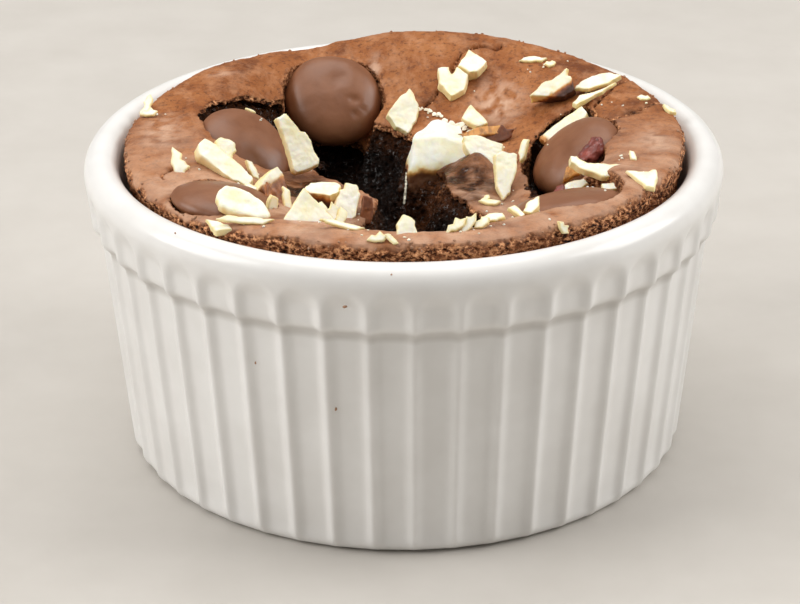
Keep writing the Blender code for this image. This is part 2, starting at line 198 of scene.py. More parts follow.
dish_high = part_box("ramekin")[1]
RIM = dish_high.z  # height of the lip
DISH_RADIUS = dish_high.x
LIP_WIDTH = 5.5 * MM
LIP_RISE = 3.0 * MM
FLUTES = 46
FLUTE_DEPTH = 0.75 * MM
RIDGE_WIDTH = 0.30  # half the width of the round ridge between two flutes, as a share of half a flute
FLUTE_TOP = 45.9 * MM
FLUTE_ARCH = 1.6 * MM
FLUTE_FADE = (3.4 * MM, 3.5 * MM)  # how far each flute takes to reach its depth, from its top and foot
FIRST_RIDGE = 1.7  # degrees past the front
CORNERS_PER_FLUTE = 16
INNER_FOOT = 40.5 * MM
INNER_DEPTH = 39.0 * MM
DISH_FLOOR = 5.0 * MM
# Up the outside, in mm: radii, and (radius, height) where its parts meet
FOOT_RING = 41.2
FOOT_EDGE = 2.8  # how far the foot's round edge bulges out
WALL_FOOT = (44.6, 2.9)
WALL_TOP = (47.95, 37.2)
LEDGE = ((48.0, 37.6), (48.15, 37.95), (48.45, 38.35), (48.85, 38.75), (49.15, 39.15), (49.34, 39.6))
COLLAR_FOOT = (49.42, 40.2)
COLLAR_TOP = 49.98


def straight(start, end, steps):
    """Points along a straight stretch in mm, without its start."""
    for step in range(1, steps + 1):
        share = step / steps
        yield start[0] + (end[0] - start[0]) * share, start[1] + (end[1] - start[1]) * share


def outer_wall():
    """(radius, height) in mm up the outside of the dish, from the foot's rim to the lip's start."""
    yield FOOT_RING, 0.0
    for turn in np.radians(range(0, 91, 15)):
        yield WALL_FOOT[0] - FOOT_EDGE * (1 - math.sin(turn)), WALL_FOOT[1] * (1 - math.cos(turn))
    yield from straight(WALL_FOOT, WALL_TOP, 26)
    yield from (*LEDGE, COLLAR_FOOT)
    yield from straight(COLLAR_FOOT, (COLLAR_TOP, (RIM - LIP_RISE) / MM), 14)


def lip_and_inside():
    """(radius, height) over the lip and down the inside to the floor."""
    middle = DISH_RADIUS - LIP_WIDTH / 2
    for turn in np.radians(range(12, 181, 12)):
        yield middle + LIP_WIDTH / 2 * math.cos(turn), RIM - LIP_RISE * (1 - math.sin(turn))
    for share in (0.06, 0.15, 0.3, 0.5, 0.7, 0.86):
        out = (DISH_RADIUS - LIP_WIDTH) * (1 - share) + INNER_FOOT * share
        yield out, RIM - LIP_RISE - INNER_DEPTH * share
    yield INNER_FOOT - 0.6 * MM, DISH_FLOOR + 1.8 * MM
    yield INNER_FOOT - 3.0 * MM, DISH_FLOOR


def only(piece):
    """Selects this piece alone and makes it active."""
    bpy.ops.object.select_all(action="DESELECT")
    piece.select_set(True)
    bpy.context.view_layer.objects.active = piece


def drawn_out(rise, size):
    """Extrudes the selected ring up by this rise, and makes it this many times as wide."""
    bpy.ops.mesh.extrude_edges_move(TRANSFORM_OT_translate={"value": (0, 0, rise)})
    bpy.ops.transform.resize(value=(size, size, 1), center_override=(0, 0, 0))


def shut():
    """Fills the selected ring, and turns every face outwards."""
    bpy.ops.mesh.edge_face_add()
    bpy.ops.mesh.select_all(action="SELECT")
    bpy.ops.mesh.normals_make_consistent(inside=False)


def turned(name, corners, profile):
    """A ring at the profile's start, extruded and scaled along the rest of it, and filled at both ends."""
    piece = started(name, bpy.ops.mesh.primitive_circle_add, vertices=corners, radius=profile[0][0])
    with editing():
        bpy.ops.transform.translate(value=(0, 0, profile[0][1]))
        bpy.ops.mesh.edge_face_add()
        bpy.ops.mesh.select_mode(type="EDGE")
        for (radius, height), (wider, higher) in zip(profile, profile[1:]):
            drawn_out(higher - height, wider / radius)
        shut()
    return piece


def points_of(piece):
    """The piece's vertices, one row each."""
    co = np.empty(len(piece.data.vertices) * 3)
    piece.data.vertices.foreach_get("co", co)
    return co.reshape(-1, 3)


def set_points(piece, points):
    piece.data.vertices.foreach_set("co", points.ravel())
    piece.data.update()


def eased(value):
    """0 to 1 with soft ends, of a number or a whole array."""
    value = np.clip(value, 0.0, 1.0)
    return value * value * (3 - 2 * value)


profile = [(out * MM, height * MM) for out, height in outer_wall()] + list(lip_and_inside())
ramekin = turned("glazed_ramekin", FLUTES * CORNERS_PER_FLUTE, profile)
points = points_of(ramekin)
radius = np.hypot(points[:, 0], points[:, 1])
angle = np.degrees(np.arctan2(points[:, 1], points[:, 0]))
across = (angle - 270 - FIRST_RIDGE) / (360 / FLUTES) % 1.0
ridge = np.abs(2 * across - 1)  # 1 on a ridge, 0 in the middle of a flute
hollow = 1 - np.exp(-(((1 - ridge) / RIDGE_WIDTH) ** 2)) + 0.15 * (1 - ridge**2)
arch = FLUTE_TOP - FLUTE_ARCH * ridge**2
reach = eased((arch - points[:, 2]) / FLUTE_FADE[0]) * eased((points[:, 2] + 0.4 * MM) / FLUTE_FADE[1])
outside = radius > INNER_FOOT + (points[:, 2] / RIM) * 4.4 * MM
inward = np.where(outside, FLUTE_DEPTH * hollow * reach, 0.0)
points[:, :2] *= ((radius - inward) / np.maximum(radius, 1e-6))[:, None]
set_points(ramekin, points)
only(ramekin)
bpy.ops.object.shade_smooth_by_angle(angle=math.radians(60))


def bumps(tree, height, strength, distance):
    """A surface that this value raises, by up to this distance in metres, more or less strongly."""
    inputs = {"Height": height, "Strength": strength, "Distance": distance}
    return add_node(tree, "ShaderNodeBump", inputs).outputs["Normal"]


material, tree, shader = procedural("white_glaze")
tint = ramp(tree, grain(tree, 90.0, 3.0), [(0.35, (0.80, 0.785, 0.76)), (0.65, (0.86, 0.85, 0.83))])
place = add_node(tree, "ShaderNodeTexCoord", {}).outputs["Object"]
height = add_node(tree, "ShaderNodeSeparateXYZ", {"Vector": place}).outputs["Z"]
height_share = add_node(tree, "ShaderNodeMath", {0: height, 1: RIM}, operation="DIVIDE").outputs["Value"]
# painted shade: the glaze is painted a darker grey in a thin line under the ledge, where shade falls
painted_ledge_shade = ramp(tree, height_share, [(0.742, 0.0), (0.760, 0.40), (0.776, 0.40), (0.794, 0.0)])
feed(shader, {
    "Base Color": blend_colours(tree, painted_ledge_shade, tint, (0.42, 0.385, 0.34)),
    "Normal": bumps(tree, grain(tree, 260.0, 2.0), 0.05, 0.0006),
    "Roughness": 0.34, "Coat Weight": 0.35, "Coat Roughness": 0.12,
})
ramekin.data.materials.append(material)
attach(ramekin, "root")
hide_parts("ramekin")

# ---------------- the brownie
# One baked piece: a thin matt crust that rose above the lip, sank in the middle and tore open there, over
# a moist dark crumb that is still molten in the pit. Its side is rough where it came away from the dish.

GRID = 190  # squares across the sheet that becomes its surface
SIDE_SHARE = 0.955  # share of the sheet that is its top; the rest turns down the side
CREST_RADIUS = 41.5
SIDE_RADIUS = 44.1
SHOULDER = 0.75  # how far the top's edge is inside the side's widest part
SIDE_DEPTH = 3.5  # how far the rough side goes down past the lip
SIDE_LEAN = 0.9  # how far in it leans on the way
SUNKEN = -6.0
EDGE_CURL = 0.12  # how fast the crust turns down outside its crest
LIP_FACE = 0.7  # from a tear's edge to the foot of the torn lip
UNDERSIDE = 0.8  # from there back under the crust, to the wall
LIP_SAG = 0.2
MOUND = ((5.0, 1.0), (10.0, 10.0))  # middle and reach of the soft mound that fills the pit's upper edge
MOUND_WALL = 1.4  # how much narrower the tear's wall is there
BED_DEPTH = 0.4  # how far below its button's underside each bed lies
BED_GAP = 0.25  # between a button and the torn edge round it

# Round the dish, in degrees from +X towards +Y: height of the ring of crust above the lip, and the radii
# where it starts to fall and where it has reached the middle's height, all in mm
CREST = [
    (0, 1.6), (20, 1.7), (39, 2.2), (55, 2.8), (68, 3.4), (80, 3.7), (92, 3.4), (103, 2.2),
    (112, 1.3), (122, 2.0), (137, 2.1), (152, 1.5), (165, 0.9), (190, 0.7), (215, 0.2), (235, 0.9),
    (255, 1.5), (275, 1.6), (300, 1.8), (330, 1.7),
]
FALL_FROM = [
    (0, 34), (40, 41), (80, 41), (108, 41), (128, 40), (145, 37), (165, 33), (190, 32), (215, 37),
    (225, 37), (245, 40), (280, 41), (300, 40), (322, 39), (340, 36),
]
FALL_TO = [
    (0, 14), (40, 12), (80, 12), (108, 20), (128, 22), (150, 18), (180, 16), (215, 14), (250, 18),
    (280, 24), (300, 24), (322, 24), (340, 20),
]
# Each tear: its outline from above, floor, thickness of its lip, how far it runs back under the crust,
# and the width of its wall
TEARS = (
    ([(1.0, 17.5), (1.7, 13), (1.5, 9), (0.8, 6.4), (1.2, 5.5), (5.0, 5.3), (6.4, 2.5), (7.0, -3.8),
      (9.6, -10), (13.2, -16.5), (16.5, -21), (17, -27), (14, -33), (7, -37.5), (-1, -38), (-7, -35.5),
      (-8, -28), (-6, -18), (-4.5, -9), (-8, -4), (-13, 1), (-15, 8), (-17, 14), (-18, 22), (-15, 26),
      (-8, 26), (-4, 22)],
     -15.0, 0.9, 0.8, 3.0),
    ([(-32.5, 8), (-31.5, 14), (-28, 18), (-23, 21.5), (-18.5, 25), (-15, 24), (-14, 12), (-24, 8)],
     -8.5, 0.6, 1.0, 1.5),
    ([(29, 14.5), (24, 12.5), (20.5, 8), (19.3, 1), (19.7, -7), (21, -13), (27, -13), (31, -8), (31, 8)],
     -8.5, 0.6, 0.6, 1.5),
)
# Each button: the middle of its underside from the lip's height, the way it faces, and its radius
BUTTONS = (
    ((-11.8, 30.0, -5.2), (0.05, -0.70, 0.71), 8.1),
    ((-25.8, 7.6, -5.0), (0.50, -0.33, 0.82), 7.7),
    ((-26.9, -23.2, -2.0), (0.15, 0.08, 1.0), 7.7),
    ((28.2, 2.0, -4.5), (-0.58, -0.22, 0.79), 7.7),
    ((24.8, -23.0, -2.7), (-0.15, 0.30, 1.0), 8.1),
)
# Each crack in the crust: its line from above, depth and half width
CRACKS = (
    ([(8.2, 29.4), (9.1, 31.8), (10.5, 34.7), (13.9, 35.2), (15.5, 34.1), (16.4, 35.1)], 0.9, 0.30),
    ([(2.6, 22.5), (4.6, 23.7), (5.7, 25.1)], 0.6, 0.25),
    ([(28.2, 8.5), (29.5, 10.7), (31.3, 14.1), (33.6, 18.1), (36.5, 21.8)], 0.7, 0.40),
    ([(32.1, 4.7), (36.1, 7.4), (38.7, 10.2), (42.2, 13.8)], 0.35, 0.45),
    ([(-35.4, -12.8), (-36.6, -14.4), (-35.9, -16.4)], 0.5, 0.25),
)
# Places where the crust stayed moist and dried smooth, glossier and painted paler with a painted sheen:
# middle, reach each way, how strong
SATIN_AND_PAINTED_SHEEN = (
    ((15.5, 21.0), (7.0, 8.5), 1.1), ((12.5, -7.0), (6.0, 11.0), 0.9), ((-38.0, 3.0), (5.5, 10.0), 0.8),
    ((-4.8, 31.5), (2.4, 6.5), 1.0), ((-30.0, 25.5), (5.0, 2.6), 0.7), ((39.0, -4.0), (4.0, 9.0), 0.5),
)
# Places soaked dark beside the tears: middle, reach each way, how strong, how much its raggedness counts,
# and the least and most that this leaves of it
SOAKED = (
    ((4.0, 3.0), (5.0, 7.0), 0.5, 0.0, 0.0, 9.0), ((9.4, -1.5), (8.5, 13.0), 0.52, 1.0, 0.25, 2.0),
    ((13.0, -6.0), (8.0, 13.0), 0.16, 0.8, -9.0, 9.0), ((36.2, 8.0), (2.6, 2.0), 0.45, 1.0, -9.0, 9.0),
    ((39.9, 11.0), (2.0, 1.8), 0.40, 1.0, -9.0, 9.0), ((-15.0, -7.5), (9.5, 12.0), 0.85, 0.8, 0.4, 1.6),
    ((-6.0, -20.0), (5.0, 12.0), 0.30, 0.0, 0.0, 9.0),
)
# Places where the crust sank or was pushed up beside the pit: middle, reach each way, how far up
HEAVED = (((3.0, 4.5), (5.5, 5.0), -1.8), ((11.5, 3.5), (4.5, 6.0), 2.4), ((15.8, -7.5), (3.5, 4.5), -1.4))


def round_the_dish(angles, stations):
    """A value at each angle, changing smoothly from station to station and round again."""
    turns = np.array([a for a, _ in stations] + [stations[0][0] + 360.0])
    values = np.array([v for _, v in stations] + [stations[0][1]])
    angles = (angles - turns[0]) % 360 + turns[0]
    at = np.clip(np.searchsorted(turns, angles, side="right") - 1, 0, len(stations) - 1)
    share = eased((angles - turns[at]) / (turns[at + 1] - turns[at]))
    return values[at] + (values[at + 1] - values[at]) * share


def lumps(points, size, octaves=3, seed=0.0):
    """Soft noise of about -1 to 1 at each point, its largest lumps this many mm apart."""
    shift = Vector((seed, seed * 1.7, -seed))
    return np.array([noise.fractal(Vector(p) / size + shift, 0.8, 2.1, octaves) for p in points])


def pores(points, size, seed=0.0):
    """1 at the middle of each pore and 0 away from it, pores being about this many mm apart."""
    shift = Vector((seed, -seed, seed * 0.6))
    nearest = np.array([noise.voronoi(Vector(p) / size + shift)[0][0] for p in points])
    return eased(1 - nearest / 0.45)


def smooth_outline(corners, steps=5):
    """A closed curve through the corners."""
    corners = np.array(corners, float)
    before, after, next_but_one = (np.roll(corners, k, axis=0) for k in (1, -1, -2))
    line = []
    for t in np.arange(steps) / steps:
        line.append(0.5 * (2 * corners + (after - before) * t
                           + (2 * before - 5 * corners + 4 * after - next_but_one) * t**2
                           + (3 * corners - before - 3 * after + next_but_one) * t**3))
    return np.stack(line, axis=1).reshape(-1, 2)


def nearest_on(places, start, run):
    """The nearest spot to each place on one straight stretch, and how far away it is."""
    spot = start + np.clip((places - start) @ run / max(run @ run, 1e-9), 0, 1)[:, None] * run
    return spot, np.hypot(*(places - spot).T)


def inside_by(places, outline):
    """How far each place is inside the outline, less than 0 outside it, and the way further in."""
    best = np.full(len(places), 1e9)
    nearest = np.zeros((len(places), 2))
    crossings = np.zeros(len(places), int)
    for a, b in zip(outline, np.roll(outline, -1, axis=0)):
        run = b - a
        spot, gap = nearest_on(places, a, run)
        closer = gap < best
        best[closer], nearest[closer] = gap[closer], spot[closer]
        spans = (a[1] > places[:, 1]) != (b[1] > places[:, 1])
        edge_x = a[0] + (places[:, 1] - a[1]) * run[0] / (run[1] if run[1] else 1e-9)
        crossings += spans & (places[:, 0] < edge_x)
    sign = np.where(crossings % 2 == 1, 1.0, -1.0)
    way = sign[:, None] * (places - nearest) / np.maximum(best, 1e-6)[:, None]
    return sign * best, way


def crust_height(x, y):
    """Height of the crust above the lip before it tore, in mm."""
    radius, angles = np.hypot(x, y), np.degrees(np.arctan2(y, x))
    crest = round_the_dish(angles, CREST)
    start, end = round_the_dish(angles, FALL_FROM), round_the_dish(angles, FALL_TO)
    height = crest + (SUNKEN - crest) * eased((start - radius) / (start - end))
    return height - EDGE_CURL * np.maximum(radius - CREST_RADIUS, 0.0) ** 2


def near(places, middle, reach):
    """1 at the middle, easing to 0 at this reach each way."""
    return eased(1 - np.hypot(*((places - middle) / reach).T))


def rise(sheet):
    """The surface for each spot of the flat square sheet, in mm from the lip's height: its points, how
    bare the crumb is, how molten, and how satin, which makes it glossier and paints a pale sheen on
    it. The sheet's square rings become round ones."""
    u, v = sheet[:, 0], sheet[:, 1]
    ring = np.maximum(np.abs(u), np.abs(v))
    wide = np.abs(u) >= np.abs(v)
    with np.errstate(divide="ignore", invalid="ignore"):
        turn = np.where(wide, np.where(u < 0, math.pi, 0) + math.pi / 4 * v / u,
                        np.where(v < 0, math.pi, 0) + math.pi / 2 - math.pi / 4 * u / v)
    turn = np.where(ring < 1e-9, 0.0, turn)
    edge_wander = 0.35 * np.sin(5 * turn + 1.0) + 0.25 * np.sin(13 * turn) + 0.12 * np.sin(31 * turn + 2)
    top_radius = SIDE_RADIUS - SHOULDER + 0.5 * edge_wander
    down = np.clip((ring - SIDE_SHARE) / (1 - SIDE_SHARE), 0, 1)
    radius = np.minimum(ring / SIDE_SHARE, 1.0) * top_radius
    radius += 0.7 * np.sin(np.minimum(down * 4, 1) * math.pi / 2) - SIDE_LEAN * down
    places = np.column_stack([radius * np.cos(turn), radius * np.sin(turn)])
    top = crust_height(*places.T)
    flat = np.column_stack([places, top * 0])
    ragged = lumps(flat, 3.0, 3, 4.0)
    fine = lumps(flat, 1.1, 2, 9.0)
    crumb = np.clip(down * 6 + (down > 0) * 0.8 * ragged, 0, 1)
    wet = sum(share * near(places, middle, reach) * np.clip(1 + rough * ragged, least, most)
              for middle, reach, share, rough, least, most in SOAKED)
    for middle, reach, up in HEAVED:
        top = top + up * near(places, middle, reach)

    # the crust has sunk away from each whole button, with a torn edge that follows its rim
    for middle, way, size in BUTTONS:
        middle, way = np.array(middle), np.array(way) / np.linalg.norm(way)
        at = np.column_stack([places, top]) - middle
        out = np.linalg.norm(at - (at @ way)[:, None] * way, axis=1)
        bed = middle[2] - ((places - middle[:2]) @ way[:2]) / way[2] - BED_DEPTH
        gap = size + BED_GAP + 0.25 * ragged + 0.12 * fine
        sunk = eased((gap - out) / 0.35 + 0.5)
        crumb = np.maximum(crumb, (bed < top) * eased((gap + 0.35 - out) / 0.4) * (out > size - 2))
        top = np.where(bed < top, top + (bed - top) * sunk, top)

    for line, deep, half in CRACKS:
        spots = smooth_outline([*line, *line[::-1]], 3)
        shaken = places + 0.35 * np.column_stack([ragged, fine])
        far = np.min([nearest_on(shaken, a, b - a)[1] for a, b in zip(spots, spots[1:])], axis=0)
        top = top - deep * np.exp(-((far / half) ** 2))
        top += 0.25 * deep * np.exp(-(((far - 3 * half) / (1.5 * half)) ** 2))
        crumb = np.maximum(crumb, 0.9 * eased(1.2 - far / half))

    height = top - down * (SIDE_DEPTH + top)
    for corners, floor_height, lip, under, wall in TEARS:
        depth, way = inside_by(places, smooth_outline(corners))
        depth = np.where(depth > -2.5, depth + 0.45 * ragged + 0.12 * fine, depth)
        mound = near(places, *MOUND)
        under = under * (1 - mound)
        wall = wall - MOUND_WALL * mound
        back = LIP_FACE + UNDERSIDE
        foot = back + wall
        out = np.select(
            [depth < 0, depth < LIP_FACE, depth < back, depth < foot],
            [depth, 0.2 * depth, 0.14 - (0.14 + under) * eased((depth - LIP_FACE) / UNDERSIDE),
             -under + (foot + under) * ((depth - back) / wall)],
            depth,
        )
        lip_top = top - LIP_SAG
        sunk = np.select(
            [depth < -1, depth < 0, depth < LIP_FACE, depth < back],
            [top, top - LIP_SAG * eased(depth + 1), lip_top - lip * depth / LIP_FACE, lip_top - lip],
            lip_top - lip + (floor_height - top + LIP_SAG + lip) * eased((depth - back) / (wall + 0.5)),
        )
        inside = depth > -1
        moved = np.where(inside[:, None], places + way * (out - depth)[:, None], places)
        height = np.where(inside, np.minimum(height, sunk), height)
        places = np.where((depth > 0)[:, None], moved, places)
        crumb = np.maximum(crumb, eased((depth + 0.1) / 0.4))
        molten = (0.75 - 0.42 * mound) * eased((depth - 0.5) / 1.2) + 0.25 * eased((-height - 8.0) / 3.0)
        wet = np.maximum(wet, np.where(depth > 0, molten, 0))
    # satin: a glossier crust, and a pale painted sheen in its colour
    satin = sum(share * near(places, middle, reach) for middle, reach, share in SATIN_AND_PAINTED_SHEEN)
    radial = np.column_stack([radius / 9.0, 14 * np.cos(turn), 14 * np.sin(turn)])
    streaks = lumps(radial, 1.0, 3, 2.0)
    satin = satin * np.clip(0.5 + 0.2 * streaks + 1.5 * lumps(flat, 2.0, 4, 5.0), 0, 1)
    # painted sheen: the crust is painted paler towards the front, where it is seen at a low angle
    front_painted_sheen = np.clip(0.75 + 0.45 * streaks + 0.5 * lumps(flat, 3.5, 3, 6.0), 0, 1.3)
    satin += 0.66 * eased((14 - places[:, 1]) / 34) * front_painted_sheen
    return np.column_stack([places, height]), crumb, np.clip(wet, 0, 1), np.clip(satin * (1 - crumb), 0, 1)


def normals_of(piece):
    """The way that each vertex faces, one row each."""
    normals = np.empty(len(piece.data.vertices) * 3)
    piece.data.vertex_normals.foreach_get("vector", normals)
    return normals.reshape(-1, 3)


def refine(piece, shape, detail, longest):
    """Splits each edge that needs detail and would come out longer than this."""
    ends = np.empty(len(piece.data.edges) * 2, int)
    piece.data.edges.foreach_get("vertices", ends)
    ends = ends.reshape(-1, 2)
    long = np.linalg.norm(shape[ends[:, 0]] - shape[ends[:, 1]], axis=1) > longest
    only(piece)
    bpy.ops.object.mode_set(mode="EDIT")
    bpy.ops.mesh.select_mode(type="EDGE")
    bpy.ops.mesh.select_all(action="DESELECT")
    bpy.ops.object.mode_set(mode="OBJECT")
    piece.data.edges.foreach_set("select", long & (detail[ends].max(axis=1) > 0.02))
    bpy.ops.object.mode_set(mode="EDIT")
    bpy.ops.mesh.subdivide(number_cuts=1, smoothness=0.0)
    bpy.ops.object.mode_set(mode="OBJECT")


def keep(piece, name, values):
    """Stores a number at each vertex, for the piece's material; vertices past the list get 0."""
    attribute = piece.data.attributes.get(name) or piece.data.attributes.new(name, "FLOAT", "POINT")
    padded = np.zeros(len(piece.data.vertices), np.float32)
    padded[: len(values)] = values
    attribute.data.foreach_set("value", padded)


squares = {"x_subdivisions": GRID, "y_subdivisions": GRID}
brownie = started("baked_brownie", bpy.ops.mesh.primitive_grid_add, size=2, **squares)
for longest in (0.50, 0.34, 0.26):
    surface, crumb, wet, satin = rise(points_of(brownie))
    refine(brownie, surface, crumb, longest)
surface, crumb, wet, satin = rise(points_of(brownie))

# Relief: slow waves, radial wrinkles and small bumps on the crust, and rough porous crumb where it shows
turns = np.arctan2(surface[:, 1], surface[:, 0])
radial = np.column_stack([np.hypot(*surface[:, :2].T) / 8.0, 16 * np.cos(turns), 16 * np.sin(turns)])
surface[:, 2] += (1 - crumb) * (0.18 * lumps(surface, 7.0, 2, 1.0) + 0.09 * lumps(surface, 1.7, 3, 2.0)
                                + 0.10 * lumps(radial, 1.0, 2, 3.0))
set_points(brownie, surface)
rough = np.zeros(len(surface))
shows = crumb > 0.01
rough[shows] = (0.40 * lumps(surface[shows], 1.9, 3, 7.0) - 0.55 * pores(surface[shows], 1.15, 3.0)
                + 0.16 * lumps(surface[shows], 0.55, 2, 8.0))
surface += normals_of(brownie) * (rough * crumb)[:, None]
surface[:, 2] = np.minimum(surface[:, 2], (cad_high.z - RIM) / MM)
set_points(brownie, surface * MM + np.array([0, 0, RIM]))
for name, values in (("crumb", crumb), ("wet", wet), ("satin", satin)):
    keep(brownie, name, values)

# Down to the dish's floor and shut below
only(brownie)
with editing():
    bpy.ops.mesh.region_to_loop()
    drawn_out(DISH_FLOOR + 0.5 * MM - RIM + SIDE_DEPTH * MM, (INNER_FOOT - 3 * MM) / (SIDE_RADIUS * MM))
    shut()
bpy.ops.object.shade_smooth()


def stored(tree, name):
    """The number that keep() has stored at each vertex."""
    return add_node(tree, "ShaderNodeAttribute", {}, attribute_name=name).outputs["Fac"]


material, tree, shader = procedural("chocolate_crumb")
crumb_share, wet_share, satin_and_sheen_share = (stored(tree, name) for name in ("crumb", "wet", "satin"))

# the crust: brown in patches, freckled darker and blotched paler, and glossier with a pale painted sheen
# where it stayed moist
patches = grain(tree, 130.0, 6.0, 0.65)
freckles = grain(tree, 1200.0, 5.0, 0.7)
blotches = grain(tree, 330.0, 4.0, 0.7, (1, 0.7, 1))
browns = [(0.34, (0.155, 0.045, 0.013)), (0.47, (0.30, 0.10, 0.028)), (0.66, (0.41, 0.16, 0.054))]
tint = ramp(tree, patches, browns)
dappled = blend_colours(tree, ramp(tree, freckles, [(0.37, 0.75), (0.49, 0.0)]), tint, (0.12, 0.038, 0.016))
crust = blend_colours(tree, ramp(tree, blotches, [(0.48, 0.0), (0.66, 0.45)]), dappled, (0.54, 0.27, 0.14))
# painted sheen: the crust is painted paler where it is satin
crust_with_painted_sheen = blend_colours(tree, satin_and_sheen_share, crust, (0.60, 0.37, 0.25))

# the crumb: nearly black pores and pale grains, smeared where it tore; darker and finer where it is fudge
specks = grain(tree, 1250.0, 4.0, 0.7, (1, 1, 1.5))
browns = [(0.40, (0.010, 0.003, 0.0015)), (0.49, (0.25, 0.078, 0.026)), (0.59, (0.95, 0.48, 0.23))]
tint = ramp(tree, specks, browns)
smears = ramp(tree, grain(tree, 300.0, 3.0, 0.6, (0.7, 0.7, 1.6)), [(0.50, 0.0), (0.62, 0.65)])
torn = blend_colours(tree, smears, tint, (0.34, 0.125, 0.05))
fudge = ramp(tree, specks, [(0.38, (0.022, 0.0065, 0.002)), (0.62, (0.095, 0.030, 0.009))])
molten = ramp(tree, specks, [(0.4, (0.0022, 0.0009, 0.0004)), (0.62, (0.014, 0.0048, 0.0018))])

fudge_share = ramp(tree, wet_share, [(0.0, 0.0), (0.55, 1.0)])
molten_share = ramp(tree, wet_share, [(0.55, 0.0), (0.95, 1.0)])
baked = blend_colours(tree, crumb_share, crust_with_painted_sheen, torn)
moist = blend_colours(tree, fudge_share, baked, fudge)
dull = ramp(tree, satin_and_sheen_share, [(0.0, 0.58), (0.8, 0.36)])
gloss = add_node(tree, "ShaderNodeMix", {0: fudge_share, 2: dull, 3: 0.16}, data_type="FLOAT").outputs[0]
glints = {0: ramp(tree, freckles, [(0.56, 0.0), (0.62, 1.0)]), 1: fudge_share}
glints = add_node(tree, "ShaderNodeMath", glints, operation="MULTIPLY").outputs["Value"]
shine = {0: glints, 1: ramp(tree, fudge_share, [(0.0, 0.20), (1.0, 0.07)])}
feed(shader, {
    "Base Color": blend_colours(tree, molten_share, moist, molten),
    "Roughness": gloss,
    "Specular IOR Level": add_node(tree, "ShaderNodeMath", shine, operation="MAXIMUM").outputs["Value"],
    "Normal": bumps(tree, specks, ramp(tree, crumb_share, [(0.0, 0.45), (1.0, 1.0)]), 0.0006),
})
brownie.data.materials.append(material)
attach(brownie, "root")
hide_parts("brownie")

# ---------------- the chocolate buttons
# Milk chocolate buttons pressed into the raw mix: each has softened in the oven to a smooth satin dome
# with a full round edge, a little dented and no longer quite round.

BUTTON_CORNERS = 72
DOMES = {  # name: height of the dome, how far its outline wanders, seed of its own dents, all in mm
    "button_back": (5.4, 0.22, 3.0),
    "button_left": (4.8, 0.30, 8.0),
    "button_front_left": (3.6, 0.25, 15.0),
    "button_right": (4.5, 0.25, 21.0),
    "button_front_right": (3.4, 0.25, 27.0),
}
# Each dent in the back button's top: its middle, half width and depth
NICKS = ((3.6, -1.2, 0.8, 0.45), (3.9, -3.6, 0.5, 0.4), (0.8, 2.6, 1.5, 0.45), (5.0, -2.6, 0.4, 0.35))
SKIRT = 0.32  # height of the round edge, as a share of the dome's


def placed(middle, way, heading):
    """Turns a piece modelled flat at the origin to face way, its length to this heading from above."""
    up = Vector(way).normalized()
    turn = math.radians(heading)
    rising = -(up.x * math.cos(turn) + up.y * math.sin(turn)) / up.z
    along = Vector((math.cos(turn), math.sin(turn), rising)).normalized()
    return Matrix.Translation(middle) @ Matrix((along, up.cross(along), up)).transposed().to_4x4()


def pushed(piece, amount):
    """Moves each vertex along its normal by its own amount in mm."""
    set_points(piece, points_of(piece) + normals_of(piece) * np.asarray(amount)[:, None] * MM)


def into_place(piece, matrix, material, node=None):
    piece.data.transform(matrix)
    piece.data.materials.append(material)
    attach(piece, "root")
    if node:
        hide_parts(node)


material, tree, shader = procedural("milk_chocolate")
bloom = grain(tree, 220.0, 4.0, 0.6)
feed(shader, {
    "Base Color": ramp(tree, bloom, [(0.35, (0.200, 0.075, 0.031)), (0.7, (0.255, 0.102, 0.045))]),
    "Roughness": ramp(tree, bloom, [(0.35, 0.36), (0.7, 0.46)]),
    "Normal": bumps(tree, grain(tree, 700.0, 4.0, 0.5), 0.25, 0.0002),
})

domes = []
for (name, (tall, wander, seed)), (middle, way, wide) in zip(DOMES.items(), BUTTONS):
    profile = [(0.60, 0.0), (0.80, 0.005)]
    profile += [(0.80 + 0.2 * math.sin(t), SKIRT * (1 - math.cos(t))) for t in np.radians(range(15, 91, 15))]
    profile += [(math.cos(t) ** 0.8, SKIRT + (1 - SKIRT) * math.sin(t)) for t in np.radians(range(8, 89, 5))]
    profile = [(out * wide * MM, up * tall * MM) for out, up in profile]
    dome = turned(name + "_dome", BUTTON_CORNERS, profile)
    shape = points_of(dome) / MM
    around = np.arctan2(shape[:, 1], shape[:, 0])
    spread = 1 + wander / wide * (np.sin(2 * around + seed) + 0.6 * np.sin(3 * around + 2 * seed))
    shape[:, :2] *= spread[:, None]
    if name == "button_back":
        for x, y, half, deep in NICKS:
            far = np.hypot(shape[:, 0] - x, shape[:, 1] - y) / half
            shape[:, 2] -= deep * np.exp(-(far**2)) * (shape[:, 2] > 1.5)
    set_points(dome, shape * MM)
    pushed(dome, 0.16 * lumps(shape, 5.0, 2, seed) + 0.03 * lumps(shape, 1.3, 2, seed))
    only(dome)
    bpy.ops.object.shade_smooth()
    stand = placed(Vector(middle) * MM + Vector((0, 0, RIM)), way, 0)
    into_place(dome, stand, material, name)
    domes.append(dome)

# ---------------- the white chunk
# A block of white chocolate standing in the molten pit: cut square, its edges softened, its foot melted
# wider and ragged where it runs into the dark crumb.

CHUNK_SIZE = (9.5, 9.8, 8.6)
CHUNK_SHIFT = (-0.5, 0.0, 0.1)  # from the middle of its solid's box, in mm
CHUNK_WAY = (0.0, -0.06, 1.0)
CHUNK_TURN = 4

chunk = started("white_chocolate_chunk", bpy.ops.mesh.primitive_cube_add, size=1)
with editing():
    bpy.ops.transform.resize(value=[side * MM for side in CHUNK_SIZE])
    bpy.ops.mesh.bevel(offset=0.5 * MM, segments=3, affect="EDGES")


